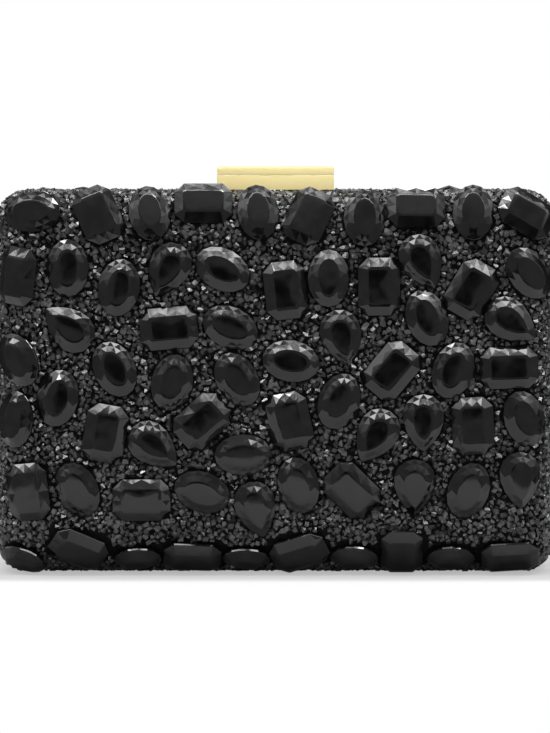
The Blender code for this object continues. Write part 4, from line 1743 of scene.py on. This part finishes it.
@dataclass(frozen=True)
class Clasp:
    """The lever clasp on top: catch, lever, bracket, pin, rivets and springs."""

    width: float = 36.5 * MM
    reach: float = 6 * MM
    wall: float = 0.8 * MM
    plate_base: float = 119.3 * MM
    plate_top: float = 120.3 * MM
    catch_top: float = 123.82 * MM
    lever_base: float = 123.9 * MM
    lever_top: float = 126.2 * MM
    lever_tail: float = 10.9 * MM
    ear: float = 1.2 * MM
    lever_ear_radius: float = 1.2 * MM
    bracket_ear_radius: float = 1.5 * MM
    lever_ear_centre: float = 11.6 * MM
    bracket_ear_centre: float = 13.1 * MM
    bracket_width: float = 29.4 * MM
    bracket_reach: float = 9.5 * MM
    axis_depth: float = 5.5 * MM
    axis_height: float = 121.8 * MM
    pin: float = 0.55 * MM
    bore: float = 0.8 * MM
    tooth_width: float = 10 * MM
    tooth_near: float = 2.4 * MM
    tooth_far: float = 3.4 * MM
    tooth_height: float = 2.4 * MM
    spring_width: float = 8 * MM
    spring: float = 0.3 * MM
    catch_spring_start: float = 4.4 * MM
    catch_spring_back: float = 0.9 * MM
    catch_spring_rise: float = 2.1 * MM
    catch_spring_nose: float = 0.7 * MM
    clasp_spring_run: float = 1.8 * MM
    rivet_centre: float = 8.5 * MM
    rivet_depth: float = 3.6 * MM
    rivet_foot: float = 115.9 * MM
    rivet_head: float = 0.5 * MM
    hole_foot: float = 118 * MM
    hole_over: float = 2 * MM
    edge: float = 0.12 * MM
    tooth_edge: float = 0.2 * MM
    bracket_edge: float = 0.14 * MM
    spring_edge: float = 0.08 * MM

    @property
    def deck(self) -> float:
        """Where the rivets' heads and the springs' feet lie, just above the foot plates."""
        return self.plate_top + LAYERS.gap

    @property
    def rivet(self) -> Rivet:
        """The headed rivet of both foot plates."""
        return Rivet(self.rivet_foot, self.deck + self.rivet_head, head=self.deck)

    def build(self) -> None:
        """Build and dress every piece of the clasp."""
        self.catch()
        self.lever()
        self.bracket()
        self.fixings()
        self.springs()

    def holes(self, half: Half) -> list[Piece]:
        """Tools for the rivet holes of one half."""
        y = half.value * self.rivet_depth
        return [Bench.rod("rivet_hole", (x, y, self.hole_foot),
                          (x, y, self.plate_top + self.hole_over), self.rivet.shank + LAYERS.gap)
                for x in pair(self.rivet_centre)]

    def across(self, name: str, reach: float, radius: float) -> Piece:
        """A rod along the lever's axis."""
        return Bench.cross_rod(name, 0, reach, self.axis_depth, self.axis_height, radius)

    def ears(self, centre: float, radius: float, first: float, steps: int, bury: float
             ) -> list[Piece]:
        """A pair of round ears for the pin, either side of the middle.

        Args:
            centre: Their distance from the middle.
            radius: Their radius.
            first: The angle at which their round edge starts.
            steps: The steps of that edge.
            bury: The height that they are buried to.

        Returns:
            The ears.
        """
        edge = arc((self.axis_depth, self.axis_height), radius, first, first + 180, steps)
        profile = [(edge[0][0], bury), *edge, (edge[-1][0], bury)]
        return [Bench.prism("ear", profile, middle - self.ear / 2, middle + self.ear / 2)
                for middle in pair(centre)]

    def catch(self) -> None:
        """The catch: a foot plate with the gold front wall."""
        back = -LAYERS.parting - LAYERS.gap
        obj = Bench.prism("gold_catch", [
            (-self.reach, self.plate_base), (back, self.plate_base), (back, self.plate_top),
            (self.wall - self.reach, self.plate_top), (self.wall - self.reach, self.catch_top),
            (-self.reach, self.catch_top)], *pair(self.width / 2))
        Bench.work(obj, self.holes(Half.FRONT))
        Bench.soften(obj, self.edge, segments=3)
        set_piece(obj, Half.FRONT.body, Finish.GOLD, "clasp_catch")

    def lever(self) -> None:
        """The lever: the upper bar with its ears and tooth."""
        obj = Bench.box("gold_lever", (-self.width / 2, -self.reach, self.lever_base),
                        (self.width / 2, self.lever_tail, self.lever_top))
        Bench.soften(obj, self.edge, segments=3)
        bury = (self.lever_base + self.lever_top) / 2
        ears = self.ears(self.lever_ear_centre, self.lever_ear_radius, 180, 14, bury)
        tooth = Bench.box("tooth", (-self.tooth_width / 2, -self.tooth_far,
                                    self.lever_base - self.tooth_height),
                          (self.tooth_width / 2, -self.tooth_near, bury))
        Bench.soften(tooth, self.tooth_edge)
        Bench.work(obj, [*ears, tooth], "UNION")
        Bench.work(obj, [self.across("pin_bore", self.width / 2, self.bore)])
        Bench.smooth(obj)
        set_piece(obj, "clasp_lever", Finish.GOLD, "clasp_lever")

    def bracket(self) -> None:
        """The bracket: a foot plate with two ears for the pin."""
        obj = Bench.box("gold_bracket", (-self.bracket_width / 2, LAYERS.parting + LAYERS.gap,
                                         self.plate_base),
                        (self.bracket_width / 2, self.bracket_reach, self.plate_top))
        bury = (self.plate_base + self.plate_top) / 2
        Bench.work(obj, self.ears(self.bracket_ear_centre, self.bracket_ear_radius, 0, 16, bury),
                   "UNION")
        Bench.work(obj, [self.across("pin_bore", self.width / 2, self.bore),
                         *self.holes(Half.REAR)])
        Bench.soften(obj, self.bracket_edge, limit=35)
        set_piece(obj, Half.REAR.body, Finish.GOLD, "clasp_bracket")

    def fixings(self) -> None:
        """The pin and the four headed rivets."""
        pin = self.across("turned_clasp_pin", self.bracket_ear_centre + self.ear / 2, self.pin)
        Bench.soften(pin, self.edge, segments=3)
        set_piece(pin, Half.REAR.body, Finish.STEEL, "clasp_pin")
        for half, name in ((Half.FRONT, "catch_rivet"), (Half.REAR, "bracket_rivet")):
            for number, x in enumerate(pair(self.rivet_centre), 1):
                self.rivet.build(half, f"{name}_{number}", x, self.rivet_depth)

    def springs(self) -> None:
        """The catch spring, and the bent leaf that presses the lever's tail up."""
        foot, half_width = self.deck, self.spring_width / 2
        start, back = -self.catch_spring_start, -self.catch_spring_back
        top, front, inside = foot + self.catch_spring_rise, back - self.spring, foot + self.spring
        obj = Bench.prism("bent_catch_spring", [
            (start, foot), (back, foot), (back, top), (front, top),
            (front - self.catch_spring_nose, (inside + top) / 2), (front, inside),
            (start, inside)], *pair(half_width))
        Bench.soften(obj, self.spring_edge, limit=20)
        set_piece(obj, Half.FRONT.body, Finish.STEEL, "catch_spring")
        head = self.lever_base - LAYERS.gap
        outer = (head - foot) / 2
        bend = self.lever_tail - LAYERS.gap - outer
        tip, centre = bend - self.clasp_spring_run, (bend, (foot + head) / 2)
        obj = Bench.prism("bent_clasp_spring", [
            (tip, foot), *arc(centre, outer, -90, 90, 18), (tip, head),
            (tip, head - self.spring), *arc(centre, outer - self.spring, 90, -90, 18),
            (tip, inside)], *pair(half_width))
        Bench.smooth(obj)
        set_piece(obj, Half.REAR.body, Finish.STEEL, "clasp_spring")
        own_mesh(obj)


def dress_shells() -> None:
    """Give the moulded shells, whose solids are right, their board finish."""
    for half in Half:
        node = frame["nodes"][f"{half.label}_shell"]
        node.data.materials.clear()
        node.data.materials.append(Finish.BOARD.material)
        LOG.info("%s keeps its solid", node.name)


# Studio


@dataclass(frozen=True)
class Floor:
    """A white floor that keeps part of the clutch's real shadow, with a painted shadow near it,
    and meets the backdrop unseen.
    """

    size: float = 16.0
    half_depth: float = 27 * MM
    clouds: Pair = (3.0, 2.0)
    polish: Pair = (0.9, 1.0)
    tones: Pair = (0.93, 0.95)
    mirrored_tones: Pair = (0.3, 0.78)
    mirrored_reach: float = 14 * MM
    seen_span: Pair = (0.16, 0.34)
    mirrored_span: Pair = (0.16, 0.19)
    own_light: Pair = (0.7, 1.0)
    # Painted shadow: the floor's glow is dimmer under and close to the clutch.
    shade_span: Pair = (3 * MM, 18 * MM)
    shade: Pair = (0.62, 1.0)
    swing_drop: float = 28.6 * MM

    def build(self) -> None:
        """Lay the floor; as the front half swings down it lowers it, and then lies on it."""
        Bench.only()
        bpy.ops.mesh.primitive_plane_add(size=self.size)
        floor = bpy.context.object
        floor.name = "floor"
        floor.data.materials.append(self.finish())
        follow = floor.constraints.new("TRANSFORM")
        follow.target = frame["bodies"][Half.FRONT.body]
        follow.map_from, follow.map_to = "ROTATION", "LOCATION"
        follow.map_to_z_from = "X"
        follow.from_max_x_rot = math.radians(90)
        follow.to_max_z = -self.swing_drop

    def distance(self, patch: Patch) -> Socket:
        """How far a point of the floor lies from the clutch's base.

        Args:
            patch: The floor's node tree.

        Returns:
            The distance.
        """
        place = patch.split(patch.place())
        beside, ahead = (
            patch.math("MAXIMUM", patch.math("SUBTRACT", patch.math(
                "ABSOLUTE", place[axis]), half), 0.0)
            for axis, half in ((0, FORM.width / 2), (1, self.half_depth)))
        return patch.math("SQRT", patch.math("ADD", patch.times(beside, beside),
                                             patch.times(ahead, ahead)))

    def finish(self) -> Material:
        """The floor's white, with painted shade near the clutch in what the stones reflect, and a
        painted shadow under the clutch in its glow, mixed with a share of its real shadow.

        Returns:
            The material.
        """
        material, patch, shader = start_material("white_floor", {"IOR": 1.3})
        cloud = mottle(patch, *self.clouds)
        away = patch.node("ShaderNodeVectorMath", {0: patch.place()},
                          operation="LENGTH").outputs["Value"]
        near = self.distance(patch)
        path = patch.node("ShaderNodeLightPath").outputs
        plain = patch.mix(cloud, *map(grey, self.tones))
        # Painted shade: in reflections the floor is darker close to the clutch's base.
        mirrored = patch.mix(patch.ramp(near, 0.0, self.mirrored_reach),
                             *map(grey, self.mirrored_tones))
        patch.link(patch.mix(path["Is Glossy Ray"], plain, mirrored), shader.inputs["Base Color"])
        patch.link(patch.ramp(cloud, 0.0, 1.0, *self.polish), shader.inputs["Roughness"])
        seen = patch.times(patch.ramp(away, *self.seen_span, *self.own_light),
                           path["Is Camera Ray"])
        # Painted shadow: the glow that the camera sees dims near the clutch, mixed with a share of
        # the real shadow.
        glow = patch.node("ShaderNodeEmission", {
            "Color": grey(1.0), "Strength": patch.ramp(near, *self.shade_span, *self.shade)})
        lit = patch.node("ShaderNodeMixShader", {
            0: seen, 1: shader.outputs[0], 2: glow.outputs[0]})
        beyond = patch.times(patch.ramp(away, *self.mirrored_span), path["Is Glossy Ray"])
        clear = patch.node("ShaderNodeBsdfTransparent")
        blend = patch.node("ShaderNodeMixShader", {
            0: beyond, 1: lit.outputs[0], 2: clear.outputs[0]})
        patch.link(blend.outputs[0], patch.tree.nodes["Material Output"].inputs["Surface"])
        return material


@dataclass(frozen=True)
class Band:
    """A span of one angle round the clutch, in degrees, with soft ends."""

    low: float
    high: float
    soft: float

    def share(self, patch: Patch, value: object) -> Socket:
        """1 where the value lies in the band."""
        low, high, soft = (math.radians(a) for a in (self.low, self.high, self.soft))
        return patch.times(patch.ramp(value, low - soft, low + soft),
                           patch.ramp(value, high + soft, high - soft))


@dataclass(frozen=True)
class GreyCards:
    """A glowing dome all round that only shows as reflections in the stones: painted reflections
    of grey cards, a bright key band and hot spots; it lights no diffuse surface and casts no
    shadow.
    """

    radius: float = 4.0
    level: float = 0.28
    middle: float = 0.015
    below: float = 0.02
    above: float = 0.6
    sides: float = 1.0
    key: float = 2.4
    spots: float = 11.0
    middle_azimuth: Band = Band(-90, 10, 2.5)
    middle_rise: Band = Band(-6, 7, 2.5)
    below_azimuth: Band = Band(-90, 32, 5)
    below_rise: Band = Band(-36, -15, 2)
    sides_rise: Band = Band(12, 50, 6)
    key_aside: Band = Band(67, 84, 2)
    key_roll: Band = Band(-90, 58, 5)
    spots_aside: Band = Band(60, 84, 2)
    spots_roll: Band = Band(-90, 40, 8)
    above_from: Pair = (34, 46)
    sides_from: Pair = (50, 64)
    behind_from: Pair = (30, 45)
    behind_shade: Pair = (0.4, 0.75)
    rear_share: float = 0.35
    spot_scale: float = 14.0
    spot_span: Pair = (0.5, 0.57)

    def build(self) -> None:
        """Hang the dome of painted reflections."""
        Bench.only()
        bpy.ops.mesh.primitive_uv_sphere_add(segments=48, ring_count=32, radius=self.radius)
        dome = bpy.context.object
        dome.name = "grey_cards"
        dome.visible_camera = dome.visible_diffuse = dome.visible_shadow = False
        material = bpy.data.materials.new("grey_cards")
        material.use_nodes = True
        patch = Patch(material.node_tree)
        patch.tree.nodes.remove(patch.tree.nodes["Principled BSDF"])
        glow = patch.node("ShaderNodeEmission", {
            "Color": grey(1.0), "Strength": self.brightness(patch)})
        patch.link(glow.outputs[0], patch.tree.nodes["Material Output"].inputs[0])
        dome.data.materials.append(material)

    def brightness(self, patch: Patch) -> Socket:
        """How bright the dome is in each direction.

        Args:
            patch: The dome's node tree.

        Returns:
            The brightness.
        """
        unit_place = patch.node("ShaderNodeVectorMath", {0: patch.place()},
                                operation="NORMALIZE").outputs[0]
        x, y, z = patch.split(unit_place)
        wide, deep = patch.math("ABSOLUTE", x), patch.math("ABSOLUTE", y)
        azimuth, roll = patch.math("ARCTAN2", wide, deep), patch.math("ARCTAN2", wide, z)
        rise, aside = patch.math("ARCSINE", z), patch.math("ARCCOSINE", deep)
        front = patch.ramp(y, 0.1, -0.1)

        def onset(value: object, span: Pair, *levels: float) -> Socket:
            """A smooth step over a span of degrees."""
            return patch.ramp(value, *map(math.radians, span), *levels)

        middle = patch.times(self.middle_azimuth.share(patch, azimuth),
                             self.middle_rise.share(patch, rise))
        below = patch.times(self.below_azimuth.share(patch, azimuth),
                            self.below_rise.share(patch, rise))
        sides = patch.times(patch.times(onset(azimuth, self.sides_from),
                                        self.sides_rise.share(patch, rise)), front)
        level = patch.between(middle, self.level, self.middle)
        level = patch.between(below, level, self.below)
        level = patch.between(onset(rise, self.above_from), level, self.above)
        level = patch.between(sides, level, self.sides)
        behind = patch.times(patch.ramp(y, -0.05, 0.1),
                             onset(azimuth, self.behind_from, *self.behind_shade))
        level = patch.times(level, patch.math("SUBTRACT", 1.0, behind))
        rear_share = patch.math("ADD", self.rear_share, patch.times(front, 1 - self.rear_share))
        # Painted highlights: a bright key band overhead and hot spots, seen only in reflections.
        key = patch.times(patch.times(self.key_aside.share(patch, aside),
                                      self.key_roll.share(patch, roll)), rear_share)
        level = patch.between(key, level, self.key)
        hot = patch.node("ShaderNodeTexNoise", {
            "Vector": unit_place, "Scale": self.spot_scale, "Detail": 2.0, "Roughness": 0.6})
        spots = patch.times(patch.ramp(hot.outputs["Fac"], *self.spot_span), patch.times(
            rear_share, patch.times(self.spots_roll.share(patch, roll),
                                    self.spots_aside.share(patch, aside))))
        return patch.between(spots, level, self.spots)


@dataclass(frozen=True)
class Lamp:
    """A rectangular lamp, turned to a target on the clutch's upright axis."""

    name: str
    place: Place
    target_height: float
    size: Pair
    power: float
    mirrored: bool = True

    def build(self) -> None:
        """Hang the lamp."""
        Bench.only()
        aim = Vector((0, 0, self.target_height)) - Vector(self.place)
        bpy.ops.object.light_add(type="AREA", location=self.place,
                                 rotation=aim.to_track_quat("-Z", "Y").to_euler())
        lamp = bpy.context.object
        lamp.name = self.name
        lamp.data.shape = "RECTANGLE"
        lamp.data.size, lamp.data.size_y = self.size
        lamp.data.energy = self.power
        lamp.visible_glossy = self.mirrored


LAMPS = (
    Lamp("softbox", (0, -0.28, 1.5), 0.05, (1.7, 0.95), 15.0, mirrored=False),
    Lamp("front_fill", (0, -2.2, 0.5), 0.1, (1.2, 0.8), 15.0, mirrored=False),
    Lamp("left_spot", (-0.45, -0.6, 1.35), 0.06, (0.3, 0.06), 1.6),
    Lamp("right_spot", (0.5, -0.35, 1.4), 0.06, (0.25, 0.06), 1.4),
    Lamp("rear_spot", (0.2, 0.7, 1.3), 0.06, (0.25, 0.06), 1.2),
)


@dataclass(frozen=True)
class Studio:
    """Camera, backdrop, floor, the dome of painted reflections and lamps round the clutch."""

    camera_place: Place = (-0.15 * MM, -1.5, 0.1598)
    camera_dip: float = 3.67
    camera_lens: float = 234.8
    sensor_width: float = 36
    camera_sight: float = 30
    fill: float = 0.5

    def build(self) -> None:
        """Set up the whole studio."""
        self.camera()
        self.world()
        Floor().build()
        GreyCards().build()
        for lamp in LAMPS:
            lamp.build()

    def camera(self) -> None:
        """The camera, a little above the clutch and far from it."""
        Bench.only()
        bpy.ops.object.camera_add(location=self.camera_place,
                                  rotation=(math.radians(90 - self.camera_dip), 0, 0))
        camera = bpy.context.object
        camera.name = "front_camera"
        camera.data.lens = self.camera_lens
        camera.data.sensor_width = self.sensor_width
        camera.data.clip_end = self.camera_sight
        bpy.context.scene.camera = camera
        bpy.context.scene.view_settings.view_transform = "Standard"

    def world(self) -> None:
        """A white backdrop, and a softer white fill for the light itself."""
        world = bpy.data.worlds.new("white_backdrop")
        world.use_nodes = True
        bpy.context.scene.world = world
        patch = Patch(world.node_tree)
        path = patch.node("ShaderNodeLightPath").outputs
        seen = patch.math("MAXIMUM", path["Is Camera Ray"], patch.math(
            "MAXIMUM", path["Is Glossy Ray"], path["Is Transmission Ray"]))
        back = patch.tree.nodes["Background"]
        back.inputs["Color"].default_value = grey(1.0)
        patch.link(patch.ramp(seen, 0.0, 1.0, self.fill, 1.0), back.inputs["Strength"])


def main() -> None:
    """Build the clutch and its studio."""
    logging.basicConfig(level=logging.INFO, format="%(name)s %(message)s")
    linings = {}
    for half in Half:
        JewelledCover(half).build()
        linings[half] = SatinLining(half).build()
        MouthFrame(half).build()
    SlipPocket().build(linings[Half.REAR])
    HINGES.build()
    Clasp().build()
    dress_shells()
    Studio().build()
    Bench.only()


if __name__ == "__main__":
    main()
